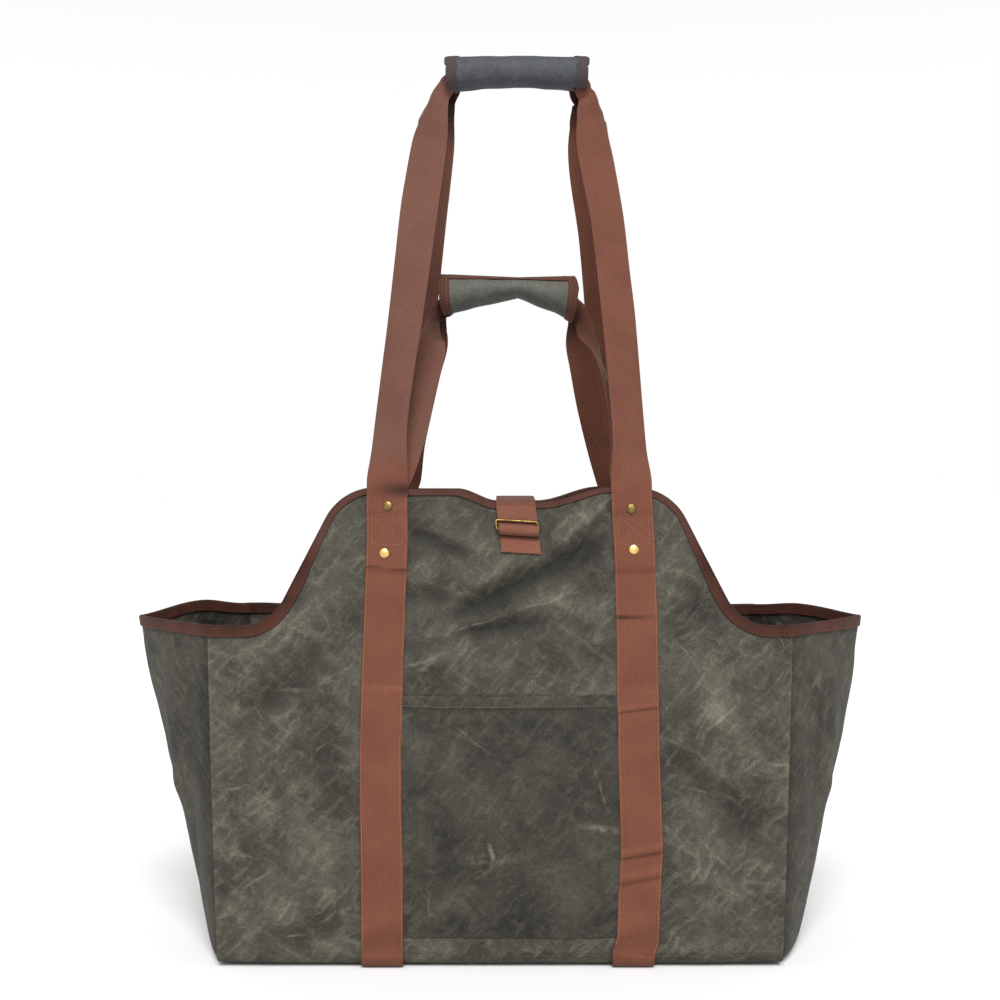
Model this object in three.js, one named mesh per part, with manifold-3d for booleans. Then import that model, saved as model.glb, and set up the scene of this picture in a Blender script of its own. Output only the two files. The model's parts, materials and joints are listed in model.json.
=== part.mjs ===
// A log carrier: a waxed-canvas bag on a flat base with closed ends, and two pairs of webbing handles.
// Millimetres, +Z up, +X along the bag, its front towards -Y. The origin is under the middle of the base.

import * as THREE from 'three';
import { mergeVertices } from 'three/addons/utils/BufferGeometryUtils.js';
import Module from 'manifold-3d';

// Cloth, webbing and tape thicknesses, and the gap that neighbouring layers keep
const CANVAS = 1.6;
const POCKET_CANVAS = 1.2;
const WEBBING = 1.6;
const TAPE = 1;
const GAP = 0.4;
const CROWDED_GAP = 0.3;

// Body of the bag: half lengths along X, half depths along Y, heights along Z
const BASE_HALF_LENGTH = 250;
const RIM_HALF_LENGTH = 264;
const BASE_HALF_DEPTH = 128;
const RIM_HALF_DEPTH = 100;
const TOP_HALF_DEPTH = 85;
const LOW_RIM = 300;
const TOP_RIM = 424;
const FOLD_RADIUS = 25;
const BASE_LEVEL = WEBBING + GAP + CANVAS / 2;
const PANEL_FOOT = BASE_LEVEL + FOLD_RADIUS;
const MIDDLE_LEAN = 1.9;
const SEAM_LEAN = 1.3;

// Closed ends: how far their fold stands out from the seams, at the base and at the low rim
const BASE_BULGE = 31;
const BASE_SETBACK = 1.2;
const RIM_BULGE = 84;
const BULGE_GROWTH = 0.75;
const ROUND_FOLD = 2;
const SHARP_FOLD = 1.2;
const END_TUCK = 2.6;
const RIM_TUCK = 3.6;
const END_FOOT = BASE_LEVEL + CANVAS + 3 * GAP;

// Shoulders of the panels: a crown arc, a straight slope and a hollow arc down to the low rim
const RIM_CENTRE = 5;
const CROWN_START = 118;
const CROWN_RADIUS = 50;
const HOLLOW_RADIUS = 43;
const SHOULDER_SLOPE = THREE.MathUtils.degToRad(63.4);
const SHOULDER_DROP = (CROWN_RADIUS + HOLLOW_RADIUS) * (1 - Math.cos(SHOULDER_SLOPE));
const SLOPE_DROP = TOP_RIM - LOW_RIM - SHOULDER_DROP;
const SLOPE_START = CROWN_START + CROWN_RADIUS * Math.sin(SHOULDER_SLOPE);
const SLOPE_END = SLOPE_START + SLOPE_DROP / Math.tan(SHOULDER_SLOPE);
const HOLLOW_END = SLOPE_END + HOLLOW_RADIUS * Math.sin(SHOULDER_SLOPE);

// Closure in the middle of the mouth: it draws the panels together and pulls the rim down
const CLOSURE_X = 17;
const CLOSURE_FLAT = 21;
const RIM_DIP = 14;
const DIP_REACH = 55;
const PINCH = 14;
const PINCH_REACH = 82;
const PINCH_FOOT = 290;
const CLOSURE_TOP = TOP_RIM - RIM_DIP;
const TOP_BAR = 395;
const LOW_BAR = 386;
const BAR_RADIUS = 1.2;
const BAR_HALF_LENGTH = 21.5;
const BAR_STANDOFF = 5.6;
const BAR_CORNER = 2.2;
const CORNER_EASE = 0.3;
const PATCH_FOOT = 365;
const CLOSURE_EASE = 1;
const STRAP_LOOP_TURNS = [-80, -40, 0, 40, 75];
const TAB_LOOP_TURNS = [195, 160, 120, 80, 40, 0, -40];

// Tape folded over the rim, and the pocket
const TAPE_LEG = 12;
const TAPE_GAP = 0.6;
const END_TAPE_REACH = 0.97;
const POCKET_TOP = 238;
const POCKET_FOOT = PANEL_FOOT + 2;

// Straps: width, places on the panels at the base and at the rim, and where the short straps' tails end
const STRAP_WIDTH = 38;
const STRAP_X = {
  left: { base: -106, rim: -103 },
  right: { base: 121, rim: 119 },
};
const TAIL_FOOT = 354;
const RAMP = 8;
const RIM_RAMP = { foot: 398, top: 404 };
const OVER_RIM = TOP_RIM + 6;
const SHORT_HEIGHTS = [TAIL_FOOT, 372, 390, RIM_RAMP.foot, RIM_RAMP.top, TOP_RIM, OVER_RIM];
const LONG_HEIGHTS = [
  ...[60, 110, 170, POCKET_TOP, POCKET_TOP + RAMP + 2, LOW_RIM, 340, TAIL_FOOT - RAMP],
  ...SHORT_HEIGHTS,
];

// Rivets through both straps and the panel
const RIVET_LEVELS = { lower: 368, upper: 409 };
const RIVET_RADIUS = 5;
const BURR_RADIUS = 2.7;
const POST_RADIUS = 2;
const HOLE_RADIUS = 2.3;
const HOLE_LENGTH = 40;
const CAP_HEIGHT = 2.1;
const BURR_HEIGHT = 1.2;
const CAP_DOME = [
  { radius: 1, rise: 0 },
  { radius: 0.9, rise: 0.55 },
  { radius: 0.5, rise: 0.9 },
  { radius: 0, rise: 1 },
];

// Free runs of the front straps from the rim to the grips. left and right are X, depth is -Y, turn is how
// far the webbing has turned edge-on, fold how far it is folded in half, and part keeps the front strap
// clear of the back one.
const LONG_RISE = [
  { height: 460, left: -103, right: 119.5, depth: 82, turn: 0, fold: 0, part: 0 },
  { height: 506, left: -97.5, right: 116, depth: 73, turn: 0, fold: 0, part: 0 },
  { height: 562, left: -90.5, right: 112.5, depth: 61, turn: 0, fold: 0, part: 0 },
  { height: 600, left: -86, right: 109, depth: 52.5, turn: 0, fold: 0, part: 0 },
  { height: 660, left: -78, right: 103, depth: 39, turn: 0, fold: 0, part: 0 },
  { height: 690, left: -74.5, right: 98.5, depth: 32, turn: 5, fold: 0, part: 0 },
  { height: 720, left: -71, right: 94.5, depth: 25, turn: 12, fold: 0, part: 0 },
  { height: 748, left: -69, right: 91.5, depth: 18.5, turn: 25, fold: 0.15, part: 1 },
  { height: 775, left: -66, right: 90, depth: 11, turn: 50, fold: 0.55, part: 3 },
  { height: 797, left: -63.5, right: 92, depth: 4, turn: 84, fold: 0.95, part: 4.2 },
];
const SHORT_RISE = [
  { height: 460, left: -93, right: 119, depth: 71, turn: 0, fold: 0, part: 0 },
  { height: 507, left: -80, right: 116, depth: 48, turn: 0, fold: 0, part: 0 },
  { height: 545, left: -74, right: 110, depth: 29, turn: 15, fold: 0.1, part: 1 },
  { height: 567, left: -70.5, right: 99, depth: 16, turn: 48, fold: 0.55, part: 3 },
  { height: 585, left: -67, right: 86, depth: 5, turn: 84, fold: 0.95, part: 4.2 },
];

// Canvas wraps. along runs from -1 to 1 over the length, axis is the height of the middle, lift is how far
// the folded straps lie above it.
const WRAP_WALL = 3.4;
const WRAP_SIDES = 14;
const LAYER_SHIFT = 2.1;
const MOUTH_SHIFT = 4;
const MOUTH_REACH = 5;
const MOUTH_LEAN = 0.8;
const UPPER_GRIP = {
  centre: 15,
  halfLength: 70,
  sections: [
    { along: -1, axis: 823, halfHeight: 18.5, halfDepth: 18, lift: -4 },
    { along: -0.5, axis: 825, halfHeight: 17.5, halfDepth: 17.5, lift: 2 },
    { along: 0, axis: 826, halfHeight: 17, halfDepth: 17.5, lift: 4 },
    { along: 0.5, axis: 825, halfHeight: 17.5, halfDepth: 17.5, lift: 2 },
    { along: 1, axis: 823, halfHeight: 18.5, halfDepth: 18, lift: -4 },
  ],
};
const LOWER_GRIP = {
  centre: 8,
  halfLength: 66,
  sections: [
    { along: -1, axis: 611, halfHeight: 18, halfDepth: 18, lift: -4 },
    { along: -0.5, axis: 612.5, halfHeight: 14.5, halfDepth: 23, lift: -1 },
    { along: 0, axis: 615, halfHeight: 8.4, halfDepth: 28, lift: 0 },
    { along: 0.5, axis: 611.5, halfHeight: 14.5, halfDepth: 23, lift: -1 },
    { along: 1, axis: 608, halfHeight: 20, halfDepth: 18, lift: -4 },
  ],
};
const END_TAPE_LENGTH = 10;

// How finely the cloth is divided
const PANEL_LEVELS = [0, 0.16, 0.32, 0.48, 0.62, 0.74, 0.84, 0.92, 0.968, 1];
const ARC_STEPS = 4;
const FOLD_STEPS = 4;
const BASE_COLUMNS = 10;
const BASE_ROWS = 6;
const END_COLUMNS = 10;
const END_LEVELS = [0, 0.05, 0.12, 0.25, 0.4, 0.6, 0.8, 0.945, 1];
const POCKET_STEPS = 6;
const WIRE_SIDES = 8;
const ROUND_STEPS = 10;

const materials = {
  canvas: new THREE.MeshStandardMaterial({ color: 0x4b4c42, roughness: 0.75, metalness: 0 }),
  webbing: new THREE.MeshStandardMaterial({ color: 0x875546, roughness: 0.8, metalness: 0 }),
  tape: new THREE.MeshStandardMaterial({ color: 0x5f3c32, roughness: 0.85, metalness: 0 }),
  brass: new THREE.MeshStandardMaterial({ color: 0xc8aa5a, roughness: 0.35, metalness: 1 }),
};

const wasm = await Module();
wasm.setup();

// Small helpers

const vector = (x, y, z) => new THREE.Vector3(x, y, z);
const { lerp, smoothstep, clamp, degToRad } = THREE.MathUtils;

function evenly(from, to, steps) {
  return Array.from({ length: steps + 1 }, (_, k) => lerp(from, to, k / steps));
}

// A closed surface whose triangles are turned to face outward
function closedGeometry(points, triangles) {
  let volume = 0;
  for (let k = 0; k < triangles.length; k += 3) {
    const [a, b, c] = [points[triangles[k]], points[triangles[k + 1]], points[triangles[k + 2]]];
    volume += a.dot(b.clone().cross(c));
  }
  const index = volume < 0 ? triangles.slice().reverse() : triangles;
  const geometry = new THREE.BufferGeometry();
  const positions = points.flatMap((point) => point.toArray());
  geometry.setAttribute('position', new THREE.Float32BufferAttribute(positions, 3));
  geometry.setIndex(index);
  geometry.computeVertexNormals();
  return geometry;
}

// A sheet of cloth from rows of places: point lies in the middle of the cloth, half reaches its outer face
function sheet(rows) {
  const columns = rows[0].length;
  const places = rows.flat();
  const outer = places.map(({ point, half }) => point.clone().add(half));
  const inner = places.map(({ point, half }) => point.clone().sub(half));
  const corner = (side, i, j) => (side * rows.length + i) * columns + j;
  const triangles = [];
  const quad = (a, b, c, d) => triangles.push(a, b, c, a, c, d);
  const lastRow = rows.length - 1;
  const lastColumn = columns - 1;
  for (let i = 0; i < lastRow; i++) {
    for (let j = 0; j < lastColumn; j++) {
      quad(corner(0, i, j), corner(0, i + 1, j), corner(0, i + 1, j + 1), corner(0, i, j + 1));
      quad(corner(1, i, j), corner(1, i, j + 1), corner(1, i + 1, j + 1), corner(1, i + 1, j));
    }
    quad(corner(0, i, 0), corner(1, i, 0), corner(1, i + 1, 0), corner(0, i + 1, 0));
    quad(corner(0, i, lastColumn), corner(0, i + 1, lastColumn),
      corner(1, i + 1, lastColumn), corner(1, i, lastColumn));
  }
  for (let j = 0; j < lastColumn; j++) {
    quad(corner(0, 0, j), corner(0, 0, j + 1), corner(1, 0, j + 1), corner(1, 0, j));
    quad(corner(0, lastRow, j), corner(1, lastRow, j),
      corner(1, lastRow, j + 1), corner(0, lastRow, j + 1));
  }
  return closedGeometry([...outer, ...inner], triangles);
}

// A surface through rings of points that closes on itself both round each ring and from last to first
function closedLoft(rings) {
  const sides = rings[0].length;
  const at = (i, j) => (i % rings.length) * sides + (j % sides);
  const triangles = [];
  for (let i = 0; i < rings.length; i++) {
    for (let j = 0; j < sides; j++) {
      triangles.push(at(i, j), at(i + 1, j), at(i + 1, j + 1));
      triangles.push(at(i, j), at(i + 1, j + 1), at(i, j + 1));
    }
  }
  return closedGeometry(rings.flat(), triangles);
}

function tangents(points) {
  return points.map((_, k) => {
    const next = points[Math.min(k + 1, points.length - 1)];
    const last = points[Math.max(k - 1, 0)];
    return next.clone().sub(last).normalize();
  });
}

// Webbing along stations with a point, a facing direction, a width and a thickness
function ribbon(stations) {
  const ways = tangents(stations.map(({ point }) => point));
  const rows = stations.map(({ point, facing, width, thickness }, k) => {
    const normal = facing.clone().addScaledVector(ways[k], -facing.dot(ways[k])).normalize();
    const side = ways[k].clone().cross(normal);
    const half = normal.multiplyScalar(thickness / 2);
    return [-1, 0, 1].map((across) => ({
      point: point.clone().addScaledVector(side, across * width / 2),
      half,
    }));
  });
  return sheet(rows);
}

function solid(geometry) {
  const bare = geometry.clone();
  bare.deleteAttribute('normal');
  bare.deleteAttribute('uv');
  const merged = mergeVertices(bare);
  return new wasm.Manifold(new wasm.Mesh({
    numProp: 3,
    vertProperties: new Float32Array(merged.attributes.position.array),
    triVerts: new Uint32Array(merged.index.array),
  }));
}

function cut(geometry, tools) {
  const mesh = tools.reduce((body, tool) => body.subtract(solid(tool)), solid(geometry)).getMesh();
  const result = new THREE.BufferGeometry();
  result.setAttribute('position', new THREE.Float32BufferAttribute(mesh.vertProperties, 3));
  result.setIndex(Array.from(mesh.triVerts));
  result.computeVertexNormals();
  return result;
}

// Shape of the bag

function closureShare(x, reach) {
  return 1 - smoothstep(Math.abs(x - CLOSURE_X), CLOSURE_FLAT, reach);
}

function rimHeight(x) {
  const reach = Math.abs(x - RIM_CENTRE);
  if (reach <= CROWN_START) {
    return TOP_RIM - RIM_DIP * closureShare(x, DIP_REACH);
  }
  if (reach <= SLOPE_START) {
    return TOP_RIM - CROWN_RADIUS + Math.sqrt(CROWN_RADIUS ** 2 - (reach - CROWN_START) ** 2);
  }
  if (reach <= SLOPE_END) {
    const slopeTop = TOP_RIM - CROWN_RADIUS * (1 - Math.cos(SHOULDER_SLOPE));
    return slopeTop - (reach - SLOPE_START) * Math.tan(SHOULDER_SLOPE);
  }
  const toEnd = Math.max(HOLLOW_END - reach, 0);
  return LOW_RIM + HOLLOW_RADIUS - Math.sqrt(HOLLOW_RADIUS ** 2 - toEnd ** 2);
}

function seamX(z) {
  return lerp(BASE_HALF_LENGTH, RIM_HALF_LENGTH, Math.min(z / LOW_RIM, 1));
}

// Half the depth between the panels: less towards the top, at the seams and where the closure pulls
function halfDepth(x, z) {
  const middle = BASE_HALF_DEPTH - (BASE_HALF_DEPTH - TOP_HALF_DEPTH) * (z / TOP_RIM) ** MIDDLE_LEAN;
  const seam = BASE_HALF_DEPTH - (BASE_HALF_DEPTH - RIM_HALF_DEPTH) * (z / LOW_RIM) ** SEAM_LEAN;
  const pinch = PINCH * closureShare(x, PINCH_REACH) * smoothstep(z, PINCH_FOOT, TOP_RIM);
  return lerp(middle, seam, (x / RIM_HALF_LENGTH) ** 2) - pinch;
}

// A place on a panel, standing off from the middle of its canvas. face is -1 at the front, 1 at the back.
function panelNormal(x, z, face) {
  const step = 0.5;
  const overX = (halfDepth(x + step, z) - halfDepth(x - step, z)) / (2 * step);
  const overZ = (halfDepth(x, z + step) - halfDepth(x, z - step)) / (2 * step);
  return vector(-overX, face, -overZ).normalize();
}

function panelPoint(x, z, face, standoff = 0) {
  const point = vector(x, face * halfDepth(x, z), z);
  return point.addScaledVector(panelNormal(x, z, face), standoff);
}

// A place on the fold between base and panel: turn runs from 0 at the base to a quarter turn at the panel
function foldPoint(x, turn, face, standoff = 0) {
  const radius = FOLD_RADIUS + standoff;
  const y = halfDepth(x, PANEL_FOOT) - FOLD_RADIUS + radius * Math.sin(turn);
  return vector(x, face * y, PANEL_FOOT - radius * Math.cos(turn));
}

function foldNormal(turn, face) {
  return vector(0, face * Math.sin(turn), -Math.cos(turn));
}

// The bag's half depth at its seams, round the fold as well
function sectionHalfDepth(z) {
  if (z >= PANEL_FOOT) {
    return halfDepth(seamX(z), z);
  }
  const turn = Math.acos((PANEL_FOOT - z) / FOLD_RADIUS);
  return foldPoint(BASE_HALF_LENGTH, turn, 1).y;
}

// A place on a closed end. across runs from -1 at the front seam to 1 at the back one; side is -1 or 1.
function endPoint(across, z, side) {
  const share = z / LOW_RIM;
  const bulge = lerp(BASE_BULGE, RIM_BULGE, share ** BULGE_GROWTH);
  const sharpness = lerp(ROUND_FOLD, SHARP_FOLD, share);
  const tuck = lerp(END_TUCK, RIM_TUCK, smoothstep(z, LOW_RIM - TAPE_LEG - RAMP, LOW_RIM - TAPE_LEG));
  const x = seamX(z) + bulge * (1 - Math.abs(across) ** sharpness);
  return vector(side * x, across * (sectionHalfDepth(z) - tuck), z);
}

function endNormal(across, z, side) {
  const step = 0.02;
  const lift = 0.5;
  const back = endPoint(Math.min(across + step, 1), z, side);
  const over = back.sub(endPoint(Math.max(across - step, -1), z, side));
  const low = Math.min(z, LOW_RIM - lift);
  const up = endPoint(across, low + lift, side).sub(endPoint(across, low, side));
  return over.cross(up).normalize().multiplyScalar(side);
}

// Where the columns of a panel reach its rim
function rimColumns() {
  const turns = evenly(0, SHOULDER_SLOPE, ARC_STEPS);
  const crown = turns.map((turn) => CROWN_START + CROWN_RADIUS * Math.sin(turn));
  const hollow = turns.map((turn) => HOLLOW_END - HOLLOW_RADIUS * Math.sin(turn)).reverse();
  const shoulder = [...crown, ...hollow];
  const closure = [CLOSURE_FLAT, (CLOSURE_FLAT + DIP_REACH) / 2, DIP_REACH, PINCH_REACH];
  return [
    -RIM_HALF_LENGTH,
    ...shoulder.map((reach) => RIM_CENTRE - reach).reverse(),
    ...closure.map((reach) => CLOSURE_X - reach).reverse(),
    CLOSURE_X,
    ...closure.map((reach) => CLOSURE_X + reach),
    ...shoulder.map((reach) => RIM_CENTRE + reach),
    RIM_HALF_LENGTH,
  ];
}

// Canvas pieces

function panel(face) {
  const rows = PANEL_LEVELS.map((rise) => rimColumns().map((column) => {
    const z = lerp(PANEL_FOOT + CROWDED_GAP / 2, rimHeight(column), rise);
    const x = column * seamX(z) / RIM_HALF_LENGTH;
    return { point: panelPoint(x, z, face), half: panelNormal(x, z, face).multiplyScalar(CANVAS / 2) };
  }));
  return sheet(rows);
}

function basePanel() {
  const footHalfDepth = sectionHalfDepth(END_FOOT);
  const endX = (y) => {
    const bulge = BASE_BULGE * Math.max(1 - (y / footHalfDepth) ** ROUND_FOLD, 0);
    return BASE_HALF_LENGTH - BASE_SETBACK + bulge;
  };
  const topTurn = Math.PI / 2 - CROWDED_GAP / FOLD_RADIUS;
  const turns = evenly(0, Math.PI / 2, FOLD_STEPS).slice(1).map((turn) => Math.min(turn, topTurn));
  const flat = sectionHalfDepth(BASE_LEVEL);
  const places = [
    ...turns.slice().reverse().map((turn) => ({ face: -1, turn, y: 0 })),
    ...evenly(-flat, flat, BASE_ROWS).map((y) => ({ face: 0, turn: 0, y })),
    ...turns.map((turn) => ({ face: 1, turn, y: 0 })),
  ];
  const rows = places.map(({ face, turn, y }) => evenly(-1, 1, BASE_COLUMNS).map((along) => {
    const atEnd = face === 0 ? y : foldPoint(BASE_HALF_LENGTH, turn, face).y;
    const x = along * endX(atEnd);
    const point = face === 0 ? vector(x, y, BASE_LEVEL) : foldPoint(x, turn, face);
    return { point, half: foldNormal(turn, face).multiplyScalar(CANVAS / 2) };
  }));
  return sheet(rows);
}

function closedEnd(side) {
  const rows = END_LEVELS.map((level) => evenly(-1, 1, END_COLUMNS).map((across) => {
    const z = lerp(END_FOOT, LOW_RIM, level);
    const half = endNormal(across, z, side).multiplyScalar(CANVAS / 2);
    return { point: endPoint(across, z, side), half };
  }));
  return sheet(rows);
}

function pocket() {
  const standoff = (CANVAS + POCKET_CANVAS) / 2 + GAP;
  const rows = evenly(POCKET_FOOT, POCKET_TOP, POCKET_STEPS).map((z) => {
    const [from, to] = [strapX('left', z), strapX('right', z)];
    return evenly(from, to, POCKET_STEPS).map((x) => ({
      point: panelPoint(x, z, -1, standoff),
      half: panelNormal(x, z, -1).multiplyScalar(POCKET_CANVAS / 2),
    }));
  });
  return sheet(rows);
}

// Tape folded over an edge: places along it have a point, an outward normal and a way down into the cloth
function binding(places) {
  const leg = (CANVAS + TAPE) / 2 + TAPE_GAP;
  const rise = GAP + TAPE / 2;
  const rows = places.map(({ point, normal, down }) => {
    const place = (out, into, halfOut, halfInto) => ({
      point: point.clone().addScaledVector(normal, out).addScaledVector(down, into),
      half: normal.clone().multiplyScalar(halfOut).addScaledVector(down, halfInto).multiplyScalar(TAPE / 2),
    });
    return [
      place(leg, TAPE_LEG, 1, 0),
      place(leg, -rise, 1, -1),
      place(-leg, -rise, -1, -1),
      place(-leg, TAPE_LEG, -1, 0),
    ];
  });
  return sheet(rows);
}

function panelBinding(face) {
  const columns = rimColumns();
  const points = columns.map((x) => panelPoint(x, rimHeight(x), face));
  const ways = tangents(points);
  const places = points.map((point, k) => {
    const normal = panelNormal(columns[k], rimHeight(columns[k]), face);
    const down = ways[k].clone().cross(normal).normalize().multiplyScalar(-face);
    return { point, normal, down };
  });
  return binding(places);
}

function endBinding(side) {
  const places = evenly(-1, 1, END_COLUMNS).map((column) => {
    const across = clamp(column, -END_TAPE_REACH, END_TAPE_REACH);
    const point = endPoint(across, LOW_RIM, side);
    const normal = endNormal(across, LOW_RIM, side);
    const below = endPoint(across, LOW_RIM - TAPE_LEG, side);
    const down = below.sub(point).normalize();
    return { point, normal, down };
  });
  return binding(places);
}

// Straps

function strapX(side, z) {
  return lerp(STRAP_X[side].base, STRAP_X[side].rim, z / TOP_RIM);
}

// How far the middle of a strap stands off from the middle of the panel, over the layers under it
function shortStandoff(z) {
  const overTape = smoothstep(z, RIM_RAMP.foot, RIM_RAMP.top) * (TAPE + TAPE_GAP);
  return (CANVAS + WEBBING) / 2 + GAP + overTape;
}

function longStandoff(z, face) {
  const pocketLayer = face < 0 ? POCKET_CANVAS + GAP : 0;
  const overPocket = (1 - smoothstep(z, POCKET_TOP, POCKET_TOP + RAMP)) * pocketLayer;
  const overTail = smoothstep(z, TAIL_FOOT - RAMP, TAIL_FOOT) * (WEBBING + GAP);
  return shortStandoff(z) + overPocket + overTail;
}

function flatStation(point, facing) {
  return { point, facing, width: STRAP_WIDTH, thickness: WEBBING };
}

// Stations under the base and up the fold, from the middle of the base outward
function baseStations(side, face) {
  const x = STRAP_X[side].base;
  const standoff = (CANVAS + WEBBING) / 2 + GAP;
  const flat = sectionHalfDepth(BASE_LEVEL);
  const under = evenly(GAP / 2, flat, 2).map((y) => (
    flatStation(vector(x, face * y, BASE_LEVEL - standoff), vector(0, 0, -1))
  ));
  const turns = evenly(0, Math.PI / 2, FOLD_STEPS).slice(1);
  const fold = turns.map((turn) => {
    const share = smoothstep(turn, Math.PI / 8, Math.PI / 4);
    const out = lerp(standoff, longStandoff(PANEL_FOOT, face), share);
    return flatStation(foldPoint(x, turn, face, out), foldNormal(turn, face));
  });
  return [...under, ...fold];
}

function riseStations(rise, side, face) {
  const outward = side === 'left' ? -1 : 1;
  return rise.map((row) => {
    const turn = degToRad(row.turn);
    return {
      point: vector(row[side] - face * outward * row.part, face * row.depth, row.height),
      facing: vector(outward * Math.sin(turn), face * Math.cos(turn), 0),
      width: STRAP_WIDTH * (1 - row.fold / 2),
      thickness: WEBBING * (1 + row.fold) + GAP * row.fold / 2,
    };
  });
}

// Folded in half, the front strap lies on the back one inside the wrap
function gripStations(grip, face) {
  return grip.sections.map(({ along, axis, lift }) => {
    const mouth = Math.trunc(along);
    const facing = vector(MOUTH_LEAN * mouth, 0, 1).normalize();
    const point = vector(grip.centre + along * grip.halfLength + mouth * MOUTH_REACH, 0, axis + lift);
    const shift = mouth === 0 ? LAYER_SHIFT : MOUTH_SHIFT;
    return {
      point: point.addScaledVector(facing, -face * shift),
      facing,
      width: STRAP_WIDTH / 2,
      thickness: 2 * WEBBING + GAP / 2,
    };
  });
}

function strap(rise, grip, face, panelStations) {
  const run = (side) => [...panelStations(side), ...riseStations(rise, side, face)];
  return ribbon([...run('left'), ...gripStations(grip, face), ...run('right').reverse()]);
}

function longStrap(face) {
  return strap(LONG_RISE, UPPER_GRIP, face, (side) => [
    ...baseStations(side, face),
    ...LONG_HEIGHTS.map((z) => {
      const x = strapX(side, z);
      return flatStation(panelPoint(x, z, face, longStandoff(z, face)), panelNormal(x, z, face));
    }),
  ]);
}

function shortStrap(face) {
  return strap(SHORT_RISE, LOWER_GRIP, face, (side) => SHORT_HEIGHTS.map((z) => {
    const x = strapX(side, z);
    return flatStation(panelPoint(x, z, face, shortStandoff(z)), panelNormal(x, z, face));
  }));
}

// Canvas wraps and their tapes

function gripSection(grip, along) {
  const next = grip.sections.findIndex((section) => section.along >= along);
  const [from, to] = [grip.sections[Math.max(next - 1, 0)], grip.sections[next]];
  const share = to === from ? 0 : (along - from.along) / (to.along - from.along);
  const mixed = (key) => lerp(from[key], to[key], share);
  return {
    x: grip.centre + along * grip.halfLength,
    axis: mixed('axis'),
    halfHeight: mixed('halfHeight'),
    halfDepth: mixed('halfDepth'),
  };
}

function gripRing(grip, along, growth, turns) {
  const { x, axis, halfHeight, halfDepth } = gripSection(grip, along);
  return turns.map((turn) => (
    vector(x, (halfDepth + growth) * Math.cos(turn), axis + (halfHeight + growth) * Math.sin(turn))
  ));
}

const FULL_TURN = evenly(0, 2 * Math.PI, WRAP_SIDES).slice(0, WRAP_SIDES);

function sleeve(grip, alongs, inside, outside) {
  const outer = alongs.map((along) => gripRing(grip, along, outside, FULL_TURN));
  const inner = alongs.map((along) => gripRing(grip, along, inside, FULL_TURN)).reverse();
  return closedLoft([...outer, ...inner]);
}

// Where the end tapes stop, and where a tape along the wrap starts
function tapeStops(grip) {
  const endTape = 1 - END_TAPE_LENGTH / grip.halfLength;
  return { endTape, edgeTape: endTape - TAPE / grip.halfLength };
}

function wrap(grip) {
  const { endTape, edgeTape } = tapeStops(grip);
  const alongs = [...grip.sections.map(({ along }) => along), endTape, edgeTape, -endTape, -edgeTape];
  alongs.sort((a, b) => a - b);
  return sleeve(grip, alongs, -WRAP_WALL, 0);
}

function endTape(grip, end) {
  return sleeve(grip, [end, end * tapeStops(grip).endTape], CROWDED_GAP, CROWDED_GAP + TAPE);
}

// Tape along the front of the wrap's upper edge, between the end tapes
function edgeTape(grip) {
  const turns = [FULL_TURN[4], FULL_TURN[5]];
  const stop = tapeStops(grip).edgeTape;
  const alongs = [-stop, ...grip.sections.slice(1, -1).map(({ along }) => along), stop];
  const rows = alongs.map((along) => {
    const inner = gripRing(grip, along, CROWDED_GAP, turns);
    const outer = gripRing(grip, along, CROWDED_GAP + TAPE, turns);
    return inner.map((low, k) => ({
      point: low.clone().lerp(outer[k], 0.5),
      half: outer[k].clone().sub(low).multiplyScalar(0.5),
    }));
  });
  return sheet(rows);
}

// Closure. Its places are given by height and by how far they stand off from the panel's canvas.

function closureRibbon(path) {
  const points = path.map(({ z, standoff, face }) => panelPoint(CLOSURE_X, z, face, standoff));
  const ways = tangents(points);
  return ribbon(points.map((point, k) => flatStation(point, ways[k].clone().cross(vector(1, 0, 0)))));
}

function roundBar(angle, radius) {
  const turn = degToRad(angle);
  return {
    z: LOW_BAR + radius * Math.sin(turn),
    standoff: BAR_STANDOFF + radius * Math.cos(turn),
    face: -1,
  };
}

const TAB_LOOP = BAR_RADIUS + GAP + WEBBING / 2;
const STRAP_LOOP = TAB_LOOP + WEBBING + GAP;
const FLAT_STANDOFF = (CANVAS + WEBBING) / 2 + GAP;
const TAPE_STANDOFF = FLAT_STANDOFF + TAPE + TAPE_GAP;

function closureStrap() {
  const crown = CLOSURE_TOP + TAPE + 2 * TAPE_GAP + WEBBING / 2;
  const tapeFoot = CLOSURE_TOP - TAPE_LEG;
  const rampFoot = tapeFoot - RAMP;
  const overRim = (face) => [
    { z: tapeFoot - CLOSURE_EASE, standoff: TAPE_STANDOFF - GAP / 2, face },
    { z: CLOSURE_TOP - CLOSURE_EASE, standoff: TAPE_STANDOFF, face },
    { z: crown - GAP, standoff: TAPE_STANDOFF - GAP / 2, face },
    { z: crown, standoff: 0, face },
  ];
  const path = [
    ...STRAP_LOOP_TURNS.map((angle) => roundBar(angle, STRAP_LOOP)),
    { z: TOP_BAR - 1.5 * CLOSURE_EASE, standoff: BAR_STANDOFF - TAB_LOOP - GAP / 2, face: -1 },
    ...overRim(-1),
    ...overRim(1).reverse(),
    { z: rampFoot, standoff: FLAT_STANDOFF, face: 1 },
    { z: (rampFoot + PATCH_FOOT) / 2, standoff: FLAT_STANDOFF, face: 1 },
    { z: PATCH_FOOT, standoff: FLAT_STANDOFF, face: 1 },
  ];
  return closureRibbon(path);
}

function buckleTab() {
  const path = [
    { z: PATCH_FOOT, standoff: FLAT_STANDOFF, face: -1 },
    { z: LOW_BAR - RAMP, standoff: FLAT_STANDOFF, face: -1 },
    ...TAB_LOOP_TURNS.map((angle) => roundBar(angle, TAB_LOOP)),
  ];
  return closureRibbon(path);
}

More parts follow.
